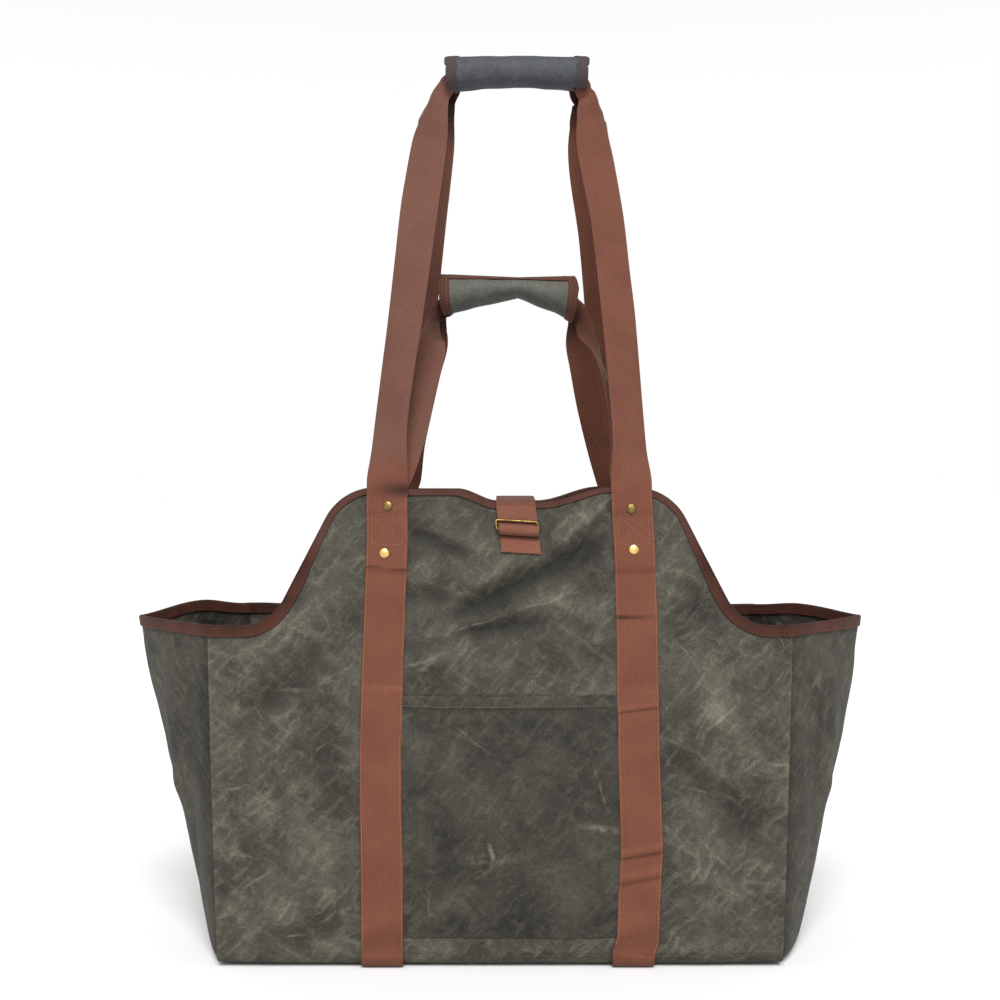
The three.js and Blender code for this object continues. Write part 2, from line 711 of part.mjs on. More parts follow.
// A wire ring with two long bars
function slideBuckle() {
  const corners = [
    { x: 1, bar: LOW_BAR, way: 1 },
    { x: 1, bar: TOP_BAR, way: -1 },
    { x: -1, bar: TOP_BAR, way: -1 },
    { x: -1, bar: LOW_BAR, way: 1 },
  ];
  const route = corners.flatMap(({ x, bar, way }) => {
    const ease = BAR_CORNER * CORNER_EASE;
    const alongBar = { x: x * (BAR_HALF_LENGTH - BAR_CORNER), z: bar };
    const round = { x: x * (BAR_HALF_LENGTH - ease), z: bar + way * ease };
    const alongSide = { x: x * BAR_HALF_LENGTH, z: bar + way * BAR_CORNER };
    const steps = [alongBar, round, alongSide];
    return x * way > 0 ? steps : steps.reverse();
  });
  const points = route.map(({ x, z }) => {
    const point = panelPoint(CLOSURE_X, z, -1, BAR_STANDOFF);
    return point.setX(CLOSURE_X + x);
  });
  const out = panelNormal(CLOSURE_X, LOW_BAR, -1);
  const rings = points.map((point, k) => {
    const next = points[(k + 1) % points.length];
    const last = points[(k + points.length - 1) % points.length];
    const side = next.clone().sub(last).cross(out).normalize();
    return evenly(0, 2 * Math.PI, WIRE_SIDES).slice(0, WIRE_SIDES).map((turn) => (
      point.clone()
        .addScaledVector(out, BAR_RADIUS * Math.cos(turn))
        .addScaledVector(side, BAR_RADIUS * Math.sin(turn))
    ));
  });
  return closedLoft(rings);
}

// Rivets: each stands along the panel's normal, with its cap on the long strap and its burr inside

function rivetSpots(face) {
  return Object.keys(STRAP_X).flatMap((side) => Object.entries(RIVET_LEVELS).map(([level, z]) => {
    const x = strapX(side, z);
    const normal = panelNormal(x, z, face);
    const turn = new THREE.Quaternion().setFromUnitVectors(vector(0, 1, 0), normal);
    return { name: `${side}_${level}`, z, turn, point: panelPoint(x, z, face) };
  }));
}

function rivetHoles(face) {
  return rivetSpots(face).map(({ turn, point }) => {
    const hole = new THREE.CylinderGeometry(HOLE_RADIUS, HOLE_RADIUS, HOLE_LENGTH, ROUND_STEPS);
    return hole.applyQuaternion(turn).translate(point.x, point.y, point.z);
  });
}

function rivet(z, face) {
  const capSeat = longStandoff(z, face) + WEBBING / 2 + CROWDED_GAP;
  const burrSeat = -CANVAS / 2 - CROWDED_GAP;
  const profile = [
    [0, burrSeat - BURR_HEIGHT],
    [BURR_RADIUS, burrSeat - BURR_HEIGHT],
    [BURR_RADIUS, burrSeat],
    [POST_RADIUS, burrSeat],
    [POST_RADIUS, capSeat],
    ...CAP_DOME.map(({ radius, rise }) => [RIVET_RADIUS * radius, capSeat + CAP_HEIGHT * rise]),
  ];
  return new THREE.LatheGeometry(profile.map(([r, y]) => new THREE.Vector2(r, y)), ROUND_STEPS);
}

// Assembly

const carrier = new THREE.Group();

function place(name, geometry, material) {
  const mesh = new THREE.Mesh(geometry, material);
  mesh.name = name;
  carrier.add(mesh);
  return mesh;
}

for (const [end, face] of [['front', -1], ['back', 1]]) {
  const holes = rivetHoles(face);
  place(`${end}_panel`, cut(panel(face), holes), materials.canvas);
  place(`rim_binding_${end}`, panelBinding(face), materials.tape);
  place(`long_strap_${end}`, cut(longStrap(face), holes), materials.webbing);
  place(`short_strap_${end}`, cut(shortStrap(face), holes), materials.webbing);
  for (const { name, z, turn, point } of rivetSpots(face)) {
    const mesh = place(`rivet_${end}_${name}`, rivet(z, face), materials.brass);
    mesh.quaternion.copy(turn);
    mesh.position.copy(point);
  }
}

for (const [end, side] of [['left', -1], ['right', 1]]) {
  place(`gusset_${end}`, closedEnd(side), materials.canvas);
  place(`rim_binding_${end}`, endBinding(side), materials.tape);
  place(`grip_upper_tape_${end}`, endTape(UPPER_GRIP, side), materials.tape);
  place(`grip_lower_tape_${end}`, endTape(LOWER_GRIP, side), materials.tape);
}

place('base_panel', basePanel(), materials.canvas);
place('pocket', pocket(), materials.canvas);
place('grip_upper', wrap(UPPER_GRIP), materials.canvas);
place('grip_lower', wrap(LOWER_GRIP), materials.canvas);
place('grip_lower_edge_tape', edgeTape(LOWER_GRIP), materials.tape);
place('closure_strap', closureStrap(), materials.webbing);
place('buckle_tab', buckleTab(), materials.webbing);
place('slide_buckle', slideBuckle(), materials.brass);

export default carrier;
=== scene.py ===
"""Looks of a log carrier: waxed canvas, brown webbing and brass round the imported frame.

Shapes are worked out in millimetres, in the frame's own axes, and made in metres.
"""

import json
import math

import bpy
import numpy as np
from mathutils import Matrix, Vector

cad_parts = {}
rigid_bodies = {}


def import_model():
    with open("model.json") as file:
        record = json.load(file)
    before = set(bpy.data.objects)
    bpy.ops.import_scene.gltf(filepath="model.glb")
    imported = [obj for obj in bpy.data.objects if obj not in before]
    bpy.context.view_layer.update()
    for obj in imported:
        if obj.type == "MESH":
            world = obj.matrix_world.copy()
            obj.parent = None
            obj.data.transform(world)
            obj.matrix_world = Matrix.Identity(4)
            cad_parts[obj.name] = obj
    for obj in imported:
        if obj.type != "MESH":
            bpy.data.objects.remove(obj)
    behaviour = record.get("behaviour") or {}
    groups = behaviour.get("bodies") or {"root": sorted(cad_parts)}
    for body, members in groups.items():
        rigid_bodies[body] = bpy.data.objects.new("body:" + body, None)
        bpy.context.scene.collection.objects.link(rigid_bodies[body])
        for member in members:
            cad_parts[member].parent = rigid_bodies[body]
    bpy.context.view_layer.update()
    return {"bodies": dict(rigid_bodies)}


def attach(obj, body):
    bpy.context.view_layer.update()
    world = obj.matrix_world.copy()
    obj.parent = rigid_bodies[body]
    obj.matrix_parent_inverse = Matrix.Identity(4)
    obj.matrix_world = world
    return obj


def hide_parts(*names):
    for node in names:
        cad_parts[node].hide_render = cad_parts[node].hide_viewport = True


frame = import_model()
BODY = next(iter(frame["bodies"]))
MM = 0.001

# Cloth, webbing and tape thicknesses, and the gap between neighbouring layers
CANVAS = 1.6
POCKET_CANVAS = 1.2
WEBBING = 1.6
TAPE = 1.0
GAP = 0.4

# Body of the bag
BASE_HALF_LENGTH = 250
RIM_HALF_LENGTH = 264
BASE_HALF_DEPTH = 128
RIM_HALF_DEPTH = 100
TOP_HALF_DEPTH = 85
LOW_RIM = 300
TOP_RIM = 424
FOLD_RADIUS = 11
BASE_LEVEL = WEBBING + GAP + CANVAS / 2
PANEL_FOOT = BASE_LEVEL + FOLD_RADIUS
MIDDLE_LEAN = 1.9
SEAM_LEAN = 1.3
SEAM_ROLL = 1.2
SEAM_ROLL_REACH = 3.5
CORNER_LIFT = 0.8
CORNER_START = 180
SEAM_HOLD = 30
FOOT_HOLD = 25

# Closed ends
BASE_BULGE = 31
RIM_BULGE = 84
BULGE_GROWTH = 0.75
ROUND_FOLD = 2
SHARP_FOLD = 1.2
END_TUCK = 2.2
SEAM_GROOVE = 3.2
GROOVE_REACH = 0.045
END_SPREAD = {
    "left": ((0, 60, 120, 190, 240, 300), (-10, -9, -6, -2, 1, 0)),
    "right": ((0, 60, 120, 190, 240, 300), (0, 2, 2, 5, 4, 0)),
}

# Shoulders of the panels
RIM_CENTRE = 5
CROWN_START = 118
CROWN_RADIUS = 50
HOLLOW_RADIUS = 43
SHOULDER_SLOPE = math.radians(63.4)
SHOULDER_DROP = (CROWN_RADIUS + HOLLOW_RADIUS) * (1 - math.cos(SHOULDER_SLOPE))
SLOPE_DROP = TOP_RIM - LOW_RIM - SHOULDER_DROP
SLOPE_START = CROWN_START + CROWN_RADIUS * math.sin(SHOULDER_SLOPE)
SLOPE_TOP = TOP_RIM - CROWN_RADIUS * (1 - math.cos(SHOULDER_SLOPE))
SLOPE_END = SLOPE_START + SLOPE_DROP / math.tan(SHOULDER_SLOPE)
HOLLOW_END = SLOPE_END + HOLLOW_RADIUS * math.sin(SHOULDER_SLOPE)

# Closure
CLOSURE_X = 17
CLOSURE_FLAT = 21
CLOSURE_WIDTH = 36
CLOSURE_SHIFT = -2.6
CLOSURE_SLANT = 0.112
CLOSURE_TILT = 0.06
MOUTH_RISE = 3
MOUTH_SHARES = (0.04, 0.12, 0.25, 0.5, 0.75, 0.88, 0.96)
RIM_DIP = 14
LEFT_DROP = 1.9
LEFT_DROP_START = (10, 40)
LEFT_DROP_END = (88, CROWN_START - RIM_CENTRE)
DIP_REACH = {"left": 60, "right": 84}
BACK_RISE = {"left": 9.5, "right": 6}
BACK_RISE_PEAK = 0.62
SEAM_RISE = 0.35
PINCH = 14
PINCH_REACH = 82
PINCH_FOOT = 290
CLOSURE_TOP = TOP_RIM - RIM_DIP
TOP_BAR = 393
LOW_BAR = 384.4
BAR_RADIUS = 1.2
BAR_HALF_LENGTH = 19.2
BAR_SHIFT = -1.0
BAR_STANDOFF = 5.6
BAR_CORNER = 2.4
PATCH_FOOT = 365
PATCH_HOLD = (21, 36)
PATCH_BOX_HALF = 15
SKEW_DEPTHS = (40, 70)
TILT_GROWTH = 15
STRAP_LOOP_TURNS = (-80, -40, 0, 40, 75)
TAB_LOOP_TURNS = (195, 160, 120, 80, 40, 0, -40)

# Tape over the rim, and the pocket with its hem
TAPE_LEG = {"low": 9.2, "crown": 4.8}
TAPE_GAP = 0.6
TAPE_STATIONS = {"panel": 260, "end": 121}
TAPE_LEG_STEPS = 7
POCKET_TOP = 240
POCKET_FOOT = 28
HEM_DEPTH = 11
HEM_STEP = 0.6
POCKET_SAG = 1.2

# Straps
STRAP_WIDTH = 37
STRAP_X = {"left": (-106, -103), "right": (121, 119)}
STRAP_BOW = {
    "left": ((26, 100, 190, 260, 378, 424), (1.7, 0.5, -1.7, -0.9, 1.6, 0.6)),
    "right": ((14, 27, 60, 105, 190, 320, 378, 424), (-3, 1.2, 2.5, 5, 3.2, 3.2, 1.8, 0)),
}
TAIL_FOOT = 354
RAMP = 8
RIM_RAMP = (398, 404)
OVER_RIM = TOP_RIM + 6
STRAP_STEP = 1
STRAP_ACROSS = np.array([-1, -0.98, -0.93, -0.84, -0.6, -0.3, 0, 0.3, 0.6, 0.84, 0.93, 0.98, 1])
EDGE_COLUMNS = (2, 10)
MIDDLE_COLUMN = 6
FULL_FOLD = math.radians(80)
STRAP_BOX = {"half_width": 14, "foot": 374, "top": 401}
POCKET_SPAN = STRAP_X["right"][0] - STRAP_X["left"][0]
MIDDLE_X = 8

# Rivets
RIVET_LEVELS = {"lower": 365.5, "upper": 407.5}
RIVET_SHIFTS = {
    "left": {"lower": (-2, 0.0), "upper": (0.8, 0.0)},
    "right": {"lower": (-0.8, 3.0), "upper": (-0.8, -2.2)},
}

# Free runs of the straps. turn is how far the webbing has turned edge-on, in degrees, and fold how far it is
# folded in half. The back one of two long straps lies a step further in, given below and above STEP_CHANGE.
RISE_COLUMNS = ("height", "x", "depth", "turn", "fold")
LONG_RISE = {
    "left": [
        (455, -101.5, 83, 24, 0),
        (487, -99.5, 76, 33, 0),
        (535, -94, 66, 32, 0),
        (575, -88.8, 58, 28, 0),
        (629, -82.7, 46, 22, 0),
        (689, -76.2, 33, 15, 0),
        (722, -71.8, 25, 17, 0),
        (755, -67.7, 18, 22, 0.1),
        (773, -66, 14, 32, 0.17),
        (782, -65.5, 11, 36, 0.2),
        (792, -63.8, 8, 44, 0.32),
        (802, -60.6, 6, 50, 0.6),
        (811, -53, 4, 58, 0.86),
    ],
    "right": [
        (455, 118.5, 83, 26, 0),
        (478, 117.5, 78, 32, 0),
        (534, 114, 66, 32, 0),
        (590, 109.7, 55, 29, 0),
        (629, 106, 46, 30, 0),
        (678, 101, 36, 28, 0),
        (727, 93.4, 24, 23, 0.05),
        (755, 89.8, 18, 25, 0.15),
        (774, 89.4, 13, 34, 0.17),
        (782, 88.9, 11, 38, 0.2),
        (791, 89.6, 9, 42, 0.35),
        (800, 87.6, 6.5, 46, 0.66),
        (806, 82.6, 5, 52, 0.88),
    ],
}
LONG_STEP = {"left": (5, 5), "right": (6.6, 5)}
STEP_CHANGE = (727, 785)
STEP_GROWTH = 120
SHORT_RISE = {
    ("front", "left"): [
        (441, -97, 78, 0, 0),
        (463, -90, 68, 2, 0),
        (485, -84.5, 57, 4, 0),
        (516, -79, 41, 6, 0),
        (552, -70.6, 22, 15, 0.08),
        (566, -70.5, 16, 18, 0.45),
        (579, -67.8, 11, 22, 0.8),
        (586, -65.6, 7, 25, 0.92),
        (593, -61.4, 4.6, 25, 1.0),
    ],
    ("front", "right"): [
        (441, 118, 79, 15, 0),
        (455, 116.3, 71, 35, 0),
        (489, 112, 53, 50, 0),
        (520, 105, 39, 62, 0.05),
        (541, 96, 29, 74, 0.1),
        (558, 90.1, 20, 70, 0.5),
        (577, 82.8, 9.5, 52, 0.95),
        (590, 79.3, 3.6, 40, 1.0),
    ],
    ("back", "left"): [
        (436, -99, 80, 0, 0),
        (466, -95, 66, 0, 0),
        (488, -90, 54, 0, 0),
        (541, -76.5, 28, 8, 0.03),
        (564, -68.5, 16, 25, 0.2),
        (578, -66.5, 10, 42, 0.4),
        (592, -62, 6, 64, 0.7),
    ],
    ("back", "right"): [
        (436, 116, 80, 0, 0),
        (466, 106.5, 66, 0, 0),
        (508, 95, 44, 3, 0),
        (548, 86.3, 24, 10, 0.05),
        (567, 81, 14, 30, 0.28),
        (586, 78, 7, 58, 0.62),
    ],
}

# Straps inside the grips. lean is how far their folded edge tips outward, in degrees.
INSIDE_COLUMNS = ("x", "height", "lean", "fold")
UPPER_INSIDE = [
    (-46, 816.5, -30, 0.9),
    (-36, 822, -8, 0.9),
    (15, 826, 0, 0.95),
    (66, 822, 8, 0.9),
    (75.5, 816, 30, 0.9),
]
LOWER_INSIDE = [
    (-53.2, 599.5, -35, 0.92),
    (-46, 609, -12, 0.8),
    (-24, 613.5, -4, 0.5),
    (16, 617.5, 0, 0.1),
    (44, 612, 4, 0.5),
    (62, 606, 12, 0.8),
    (72.6, 597.5, 35, 0.92),
]
LAYER_SHIFT = 1.7

# Canvas wraps: along runs from -1 to 1, and axis is the height of the middle. An end reaches out by so much
# at heights from -1 at its foot to 1 at its top.
UPPER_END = (
    (-1, -0.85, -0.2, 0.12, 0.26, 0.4, 0.6, 0.76, 0.88, 1),
    (-3, 0, 0.5, 0.5, -1.4, 1.2, 2, 1.4, -0.8, -6),
)
UPPER_GRIP = {
    "centre": 16.1,
    "half_length": 67.5,
    "along": (-1, -0.5, 0, 0.5, 1),
    "axis": (822.2, 824.4, 825.4, 824.4, 822.2),
    "half_height": (16.9, 15.8, 15.3, 15.8, 16.9),
    "half_depth": (21, 17.5, 16.5, 17.5, 21),
    "flap_end": 3.9,
    "left_end": UPPER_END,
    "right_end": UPPER_END,
}
LOWER_GRIP = {
    "centre": 8.5,
    "half_length": 67,
    "along": (-1, 0.13, 1),
    "axis": (610.4, 616.8, 606.6),
    "half_height": (20, 9.7, 22.2),
    "half_depth": (21.5, 22, 21.5),
    "flap_end": 4.7,
    "left_end": ((-1, -0.71, -0.29, 0.33, 0.86, 1), (-5, -2.1, -0.4, 0, -0.7, -2.5)),
    "right_end": ((-1, -0.7, -0.2, 0.15, 0.35, 0.75, 1), (-6.5, -3.5, -1.8, -0.8, 0, -1.8, -4.4)),
}
WRAP_WALL = 3.4
WRAP_SIDES = 72
WRAP_STEPS = 60
END_TAPE_LENGTH = 10
END_SHAPE_FROM = 0.68
FLAP_STEP = 1.0
FLAP_START = (1.6, 2.0)
FLAP_EDGE = 0.04
WRAP_GIRTH = 18
EDGE_TAPE_TURNS = (1.3, 2.4)
EDGE_TAPE_REACH = 66

# Soft folds of the panels: each runs from (x0, z0) to (x1, z1), spreads by width and stands out by lift
FOLD_COLUMNS = ("x0", "z0", "x1", "z1", "width", "lift")
FRONT_FOLDS = [
    (108, 424, -50, 316, 9, 4),
    (106, 420, 44, 364, 8, 2.5),
    (92, 374, -44, 306, 11, -6),
    (-64, 290, 80, 336, 5, 2),
    (-40, 292, 56, 306, 9, -4.5),
    (-88, 388, -28, 363, 9, -5),
    (-54, 382, 10, 363, 8, 3),
    (-90, 330, -40, 322, 9, -3.5),
    (-84, 346, -22, 352, 10, 2.5),
    (40, 326, 100, 300, 9, 2.5),
    (-88, 258, -20, 282, 9, 3),
    (56, 258, 104, 296, 10, 3),
    (-240, 250, -150, 330, 12, 3),
    (-225, 215, -135, 300, 12, -3),
    (-160, 240, -150, 120, 16, -3),
    (-245, 150, -170, 110, 14, 3),
    (-232, 190, -160, 205, 10, 2.5),
    (-140, 60, -215, 40, 12, 3.5),
    (165, 300, 215, 200, 14, 3),
    (150, 190, 235, 110, 13, -3.5),
    (160, 90, 240, 60, 13, 3),
    (190, 340, 160, 250, 14, -3),
    (180, 225, 245, 178, 10, 3),
]
BACK_FOLDS = [
    (-100, 400, 40, 320, 15, 4),
    (-120, 340, 20, 300, 16, -4),
    (80, 385, 30, 355, 14, -4),
    (-230, 240, -140, 320, 13, 2.5),
    (150, 300, 230, 200, 14, -3),
    (-60, 260, 70, 240, 18, 3),
    (-90, 150, 60, 90, 20, -3),
    (20, 210, 90, 70, 16, 2.5),
    (-220, 140, -150, 60, 14, 2.5),
    (160, 140, 235, 70, 14, 2.5),
]

# Pale lines that sharp folds have left in the wax of the front
CREASE_COLUMNS = ("x0", "z0", "x1", "z1", "width", "shade")
FRONT_CREASES = [
    (-62, 290, 10, 312, 1.1, 0.8),
    (10, 312, 76, 334, 1.1, 0.7),
    (84, 405, 46, 366, 3, 0.4),
    (-242, 226, -228, 216, 1, 0.6),
    (-222, 231, -207, 213, 1, 0.9),
    (-184, 219, -192, 208, 1.4, 0.9),
    (-156, 197, -166, 190, 1.6, 1.0),
    (-201, 172, -187, 175, 1, 0.8),
    (-246, 157, -228, 160, 1, 0.7),
    (-176, 226, -206, 182, 2.2, 0.4),
    (-246, 100, -219, 96, 1.2, 0.7),
    (-238, 66, -192, 92, 1.6, 0.5),
    (-194, 28, -168, 31, 1.2, 0.7),
    (-205, 244, -166, 243, 2.4, 0.6),
    (245, 250, 256, 263, 1.2, 0.7),
    (236, 179, 262, 177, 2, 1.0),
    (153, 290, 178, 265, 1.2, 0.7),
    (178, 205, 218, 236, 1.4, 0.6),
    (169, 120, 205, 85, 1.4, 0.6),
    (214, 76, 240, 103, 1.2, 0.6),
    (160, 158, 196, 150, 1.2, 0.6),
    (-88, 262, -52, 276, 1.6, 0.6),
]
POCKET_CREASES = [
    (-10, 112, -4, 90, 2.4, 1.2),
    (2, 106, -5, 92, 1.6, 0.7),
    (-5, 92, -16, 82, 1.4, 0.6),
    (-40, 95, 26, 99, 6, 0.45),
    (70, 126, 112, 120, 4, 1.0),
    (82, 182, 98, 130, 1.5, 0.5),
    (-50, 220, -6, 186, 1.0, 0.5),
    (-64, 78, -62, 36, 1.2, 0.4),
]

# Folds of the closed ends, in millimetres across from the outer fold and up
END_FOLDS = [
    (-60, 290, -48, 120, 12, 3),
    (-84, 250, -70, 60, 10, -3),
    (-30, 230, -24, 60, 11, -2.5),
    (-90, 170, -20, 130, 10, 2),
    (62, 290, 50, 120, 13, 3),
    (88, 230, 72, 60, 11, -3),
    (28, 220, 26, 50, 11, -2.5),
    (90, 110, 20, 80, 10, 2),
]

# Puckers across the straps of the front panel. tilt is how much higher the inner edge lies, shade how pale or
# dark the line is, and lean moves it towards the inner edge, or the outer one if negative. The shades are
# painted light and shade: paler on a raised pucker, darker in a dent, below a pucker and at the foot where
# the strap turns under.
DENT_COLUMNS = ("height", "lift", "reach", "tilt", "shade", "lean")
STRAP_DENTS = {
    "left": [
        (423, 0.0, 7, 0, -1.5, 0.4),
        (353.6, 0.3, 1.1, -0.5, -1.0, -1),
        (351.8, 0.3, 1.1, -0.5, -1.0, 1),
        (246, 0.6, 2.4, 0, 0.25, 0),
        (40, 1.2, 8, 3, 0.15, 0),
        (26, 0.0, 9, 3, -0.4, 0),
    ],
    "right": [
        (309, 0.5, 1.7, 0, -1.5, 0.35),
        (230, 0.6, 1.8, -2, 0.2, 0),
        (227, 0.0, 1.2, -2, -0.9, 0),
        (105, 1.3, 3, -4, 0.35, 0),
        (100, 0.0, 1.6, -4, -1.0, 0),
        (84, 0.9, 3.2, -5, 0.3, 0),
        (78, 0.0, 2, -5, -0.7, 0),
        (40, 1.2, 8, -4, 0.15, 0),
        (26, 0.0, 9, -4, -0.4, 0),
    ],
}

# Divisions of the visible cloth
PANEL_GRID = {"front": (236, 178), "back": (176, 132)}
END_COLUMNS = 80
END_ROWS = 100
BASE_COLUMNS = 120
BASE_ROWS = 44
FOLD_ROWS = 9
POCKET_COLUMNS = 104
POCKET_ROWS = 96
NOISE_LATTICE = 64

# Shifts of flat coordinates, which keep the patterns of pieces from repeating
BACK_SHIFT = 2000
END_SHIFT = {"left": 4400, "right": 5600}
POCKET_SHIFT = 7000
GRIP_SHIFT = 9000

# Tones: how much paler or darker a place is than its material, and tints, which make webbing greyer. Many are
# painted light and shade, as said beside them.
SEAM_TONE = 0.5
SEAM_TONE_REACH = 2.5
# Painted shade over the folded upper middle of the panels.
MIDDLE_TONE = -0.32
MIDDLE_TONE_RISE = (245, 275)
MIDDLE_TONE_REACH = (70, 130)
# Painted shade on the ends, which turn from the light, and painted shadow beside their seams, with some wear
# there.
END_TONE = -0.25
END_SEAM_TONE = -1.1
END_MOTTLE = 0.5
POCKET_TONE = -0.1
POCKET_EDGE_TONE = 0.5
HEM_TONE = 0.3
# Painted shadow along the lower edge of the pocket's hem.
HEM_LINE_TONE = -0.7
RIM_TONE = {"panel": -0.15, "end": 0.4}
CROWN_TONE = 1.25
TAPE_MOTTLE = 0.35
# Painted shade along the tape's folded top.
TAPE_FOLD_TONE = -0.7
# Painted light and shade on the closure: its webbing is painted paler than the straps, as if better lit, its
# bend over the rim darker as shade with a cool tint, and the loop's foot dark as the loop's shadow.
CLOSURE_TONE = 0.5
CLOSURE_BEND_TONE = -0.75
CLOSURE_GREY_TINT = (0.35, 0.8)
TAB_GREY_TINT = 0.15
LOOP_TONE = -1.6
# Painted light and shade on the free straps: the back ones are painted paler below the grips' mouths and dark
# in the shadow at the mouths, the front ones a little darker at the mouths.
BACK_STRAP_TONES = (0.3, -1.4)
FRONT_MOUTH_TONE = -0.15
MOUTH_REACH = {"upper": 66, "lower": 40}
# Painted shade inside the fold of the front short straps, on their inner half.
STRAP_FOLD_TONE = -0.9
# A cool tint on the free runs of the straps above the rim, standing for the light on them, stronger on the
# left.
STRAP_GREY_TINT = {"left": 0.9, "right": 0.2}
# Painted light on the grips: their undersides are painted paler and their tops darker, evening out the light
# from above.
GRIP_UNDER_TONE = 0.25
GRIP_TOP_TONE = -0.3

# Stitches: the pitch, length and radius of each kind, and their divisions
STITCHES = {
    "strap_edge": (2.5, 1.6, 0.36),
    "crossed_box": (2.6, 1.8, 0.19),
    "rim": (3.6, 2.5, 0.3),
    "hem": (3.2, 2.0, 0.27),
    "grip": (3.6, 2.4, 0.34),
    "seam": (3.2, 2.0, 0.3),
    "loose_end": (0.8, 1.3, 0.33),
}
STITCH_RINGS = 5
STITCH_SIDES = 6
STITCH_TAPER = 0.97
HEM_INSET = 19
HEM_ROW = 1.8
SEAM_ROW = (266, 288)
LOOSE_END = ((247, 291), (257, 282))

# Materials. A row gives the slot, then what the material's function takes. Colours are 0 to 255 sRGB values.
CANVASES = {
    "waxed_canvas": ("canvas", (40, 37, 31), (86, 83, 72), (118, 116, 103), 1.0),
    "pocket_canvas": ("canvas", (30, 28, 23), (76, 73, 63), (122, 118, 104), 0.65),
    "grip_canvas": ("canvas", (58, 60, 64), (80, 82, 87), (104, 106, 110), 0.5),
    "lower_grip_canvas": ("canvas", (72, 71, 66), (98, 97, 90), (128, 126, 116), 0.5),
}
WEBBINGS = {
    "webbing": ("webbing", (77, 43, 31), (121, 74, 57), 2.2, 1.5),
    "rim_tape": ("tape", (40, 22, 16), (79, 43, 31), 1.4, 1.2),
    "upper_grip_tape": ("tape", (50, 43, 45), (84, 71, 72), 1.4, 1.2),
    "lower_grip_tape": ("tape", (56, 33, 26), (98, 61, 48), 1.4, 1.2),
}
BRASSES = {
    "bright_brass": ("brass", (236, 202, 128), (206, 166, 92), 0.3),
    "aged_brass": ("brass", (132, 110, 66), (98, 80, 46), 0.4),
}
THREADS = {
    "strap_thread": ("webbing", (134, 80, 60), (172, 106, 80)),
    "grip_thread": ("tape", (112, 68, 50), (140, 88, 64)),
    "tape_thread": ("tape", (66, 38, 29), (92, 55, 43)),
    "pale_thread": ("canvas", (84, 81, 70), (114, 110, 96)),
}
# The cool tint that webbing and tape take in places; on the closure's bend and the free straps it is painted
# light and shade.
GREY_TINT_COLOUR = (0.93, 1.14, 1.38, 1.0)
CANVAS_WARP = (0.019, 0.019, 0)
CANVAS_PITCH = 1.3

# Stage, in metres and degrees
FLOOR_HALF = 30
FLOOR_COLOUR = (0.74, 0.74, 0.74, 1)
CAMERA_PLACE = (0, -1.4, 0.432)
CAMERA_DIP = 0.793
LENS = 52
SENSOR = 36
SUN_TOWARDS = (-0.03, 0.85, -1.0)
SUN_SOFTNESS = 30
SUN_STRENGTH = 3.8
SKY_HEIGHTS = (0.25, 0.6)
SKY_STRENGTHS = (1.0, 0.5)


# Small helpers

def lerp(a, b, share):
    return a + (b - a) * share


def smoothstep(value, low, high):
    share = np.clip((np.asarray(value, float) - low) / (high - low), 0, 1)
    return share * share * (3 - 2 * share)


def xyz(x, y, z):
    return np.stack(np.broadcast_arrays(x, y, z), axis=-1).astype(float)


def unit(vectors):
    return vectors / np.linalg.norm(vectors, axis=-1, keepdims=True)


def dot(a, b):
    return np.sum(a * b, axis=-1, keepdims=True)


def full_turn(count):
    return np.linspace(0, 2 * math.pi, count, endpoint=False)


def flat_map(u, v):
    return np.stack(np.broadcast_arrays(u, v), axis=-1)


def side_name(side):
    return "left" if side < 0 else "right"


def named(columns, rows):
    return [dict(zip(columns, row)) for row in rows]


def lengths(points):
    steps = np.linalg.norm(np.diff(points, axis=0), axis=1)
    return np.concatenate([[0], np.cumsum(steps)])


def bumps(u, v, cell, seed):
    """Smooth random heights from -1 to 1 over a plane, about one to a cell."""
    lattice = np.random.default_rng(seed).uniform(-1, 1, (NOISE_LATTICE, NOISE_LATTICE))
    a, b = np.broadcast_arrays(np.asarray(u, float) / cell, np.asarray(v, float) / cell)
    i, j = np.floor(a).astype(int), np.floor(b).astype(int)
    s, t = smoothstep(a - i, 0, 1), smoothstep(b - j, 0, 1)

    def corner(di, dj):
        return lattice[(i + di) % NOISE_LATTICE, (j + dj) % NOISE_LATTICE]

    low = lerp(corner(0, 0), corner(1, 0), s)
    high = lerp(corner(0, 1), corner(1, 1), s)
    return lerp(low, high, t)


def along_line(u, v, row):
    """How far places lie along a table row's line, and how far off it."""
    way = (row["x1"] - row["x0"], row["z1"] - row["z0"])
    length = math.hypot(*way)
    across, up = u - row["x0"], v - row["z0"]
    along = (across * way[0] + up * way[1]) / length**2
    return along, (across * way[1] - up * way[0]) / length


def folds(u, v, rows):
    """Soft ridges and valleys along the lines of a table."""
    total = np.zeros(np.broadcast(u, v).shape)
    for row in named(FOLD_COLUMNS, rows):
        along, off = along_line(u, v, row)
        ends = smoothstep(along, -0.15, 0.25) * (1 - smoothstep(along, 0.7, 1.15))
        total += row["lift"] * ends * np.exp(-((off / row["width"]) ** 2))
    return total


def crease_marks(u, v, rows):
    """How far places lie off the strongest pale line near them, in widths of that line, and its strength."""
    shape = np.broadcast(u, v).shape
    offsets, strengths = np.full(shape, 9.0), np.zeros(shape)
    for row in named(CREASE_COLUMNS, rows):
        along, off = along_line(u, v, row)
        off = off + 1.7 * bumps(u, v, 14, 71)
        ends = smoothstep(along, -0.1, 0.45) * (1 - smoothstep(along, 0.55, 1.1))
        strength = row["shade"] * ends * np.exp(-((off / (4 + row["width"])) ** 2))
        stronger = strength > strengths
        offsets = np.where(stronger, off / row["width"], offsets)
        strengths = np.where(stronger, strength, strengths)
    return {"crease_off": offsets, "crease_shade": strengths}


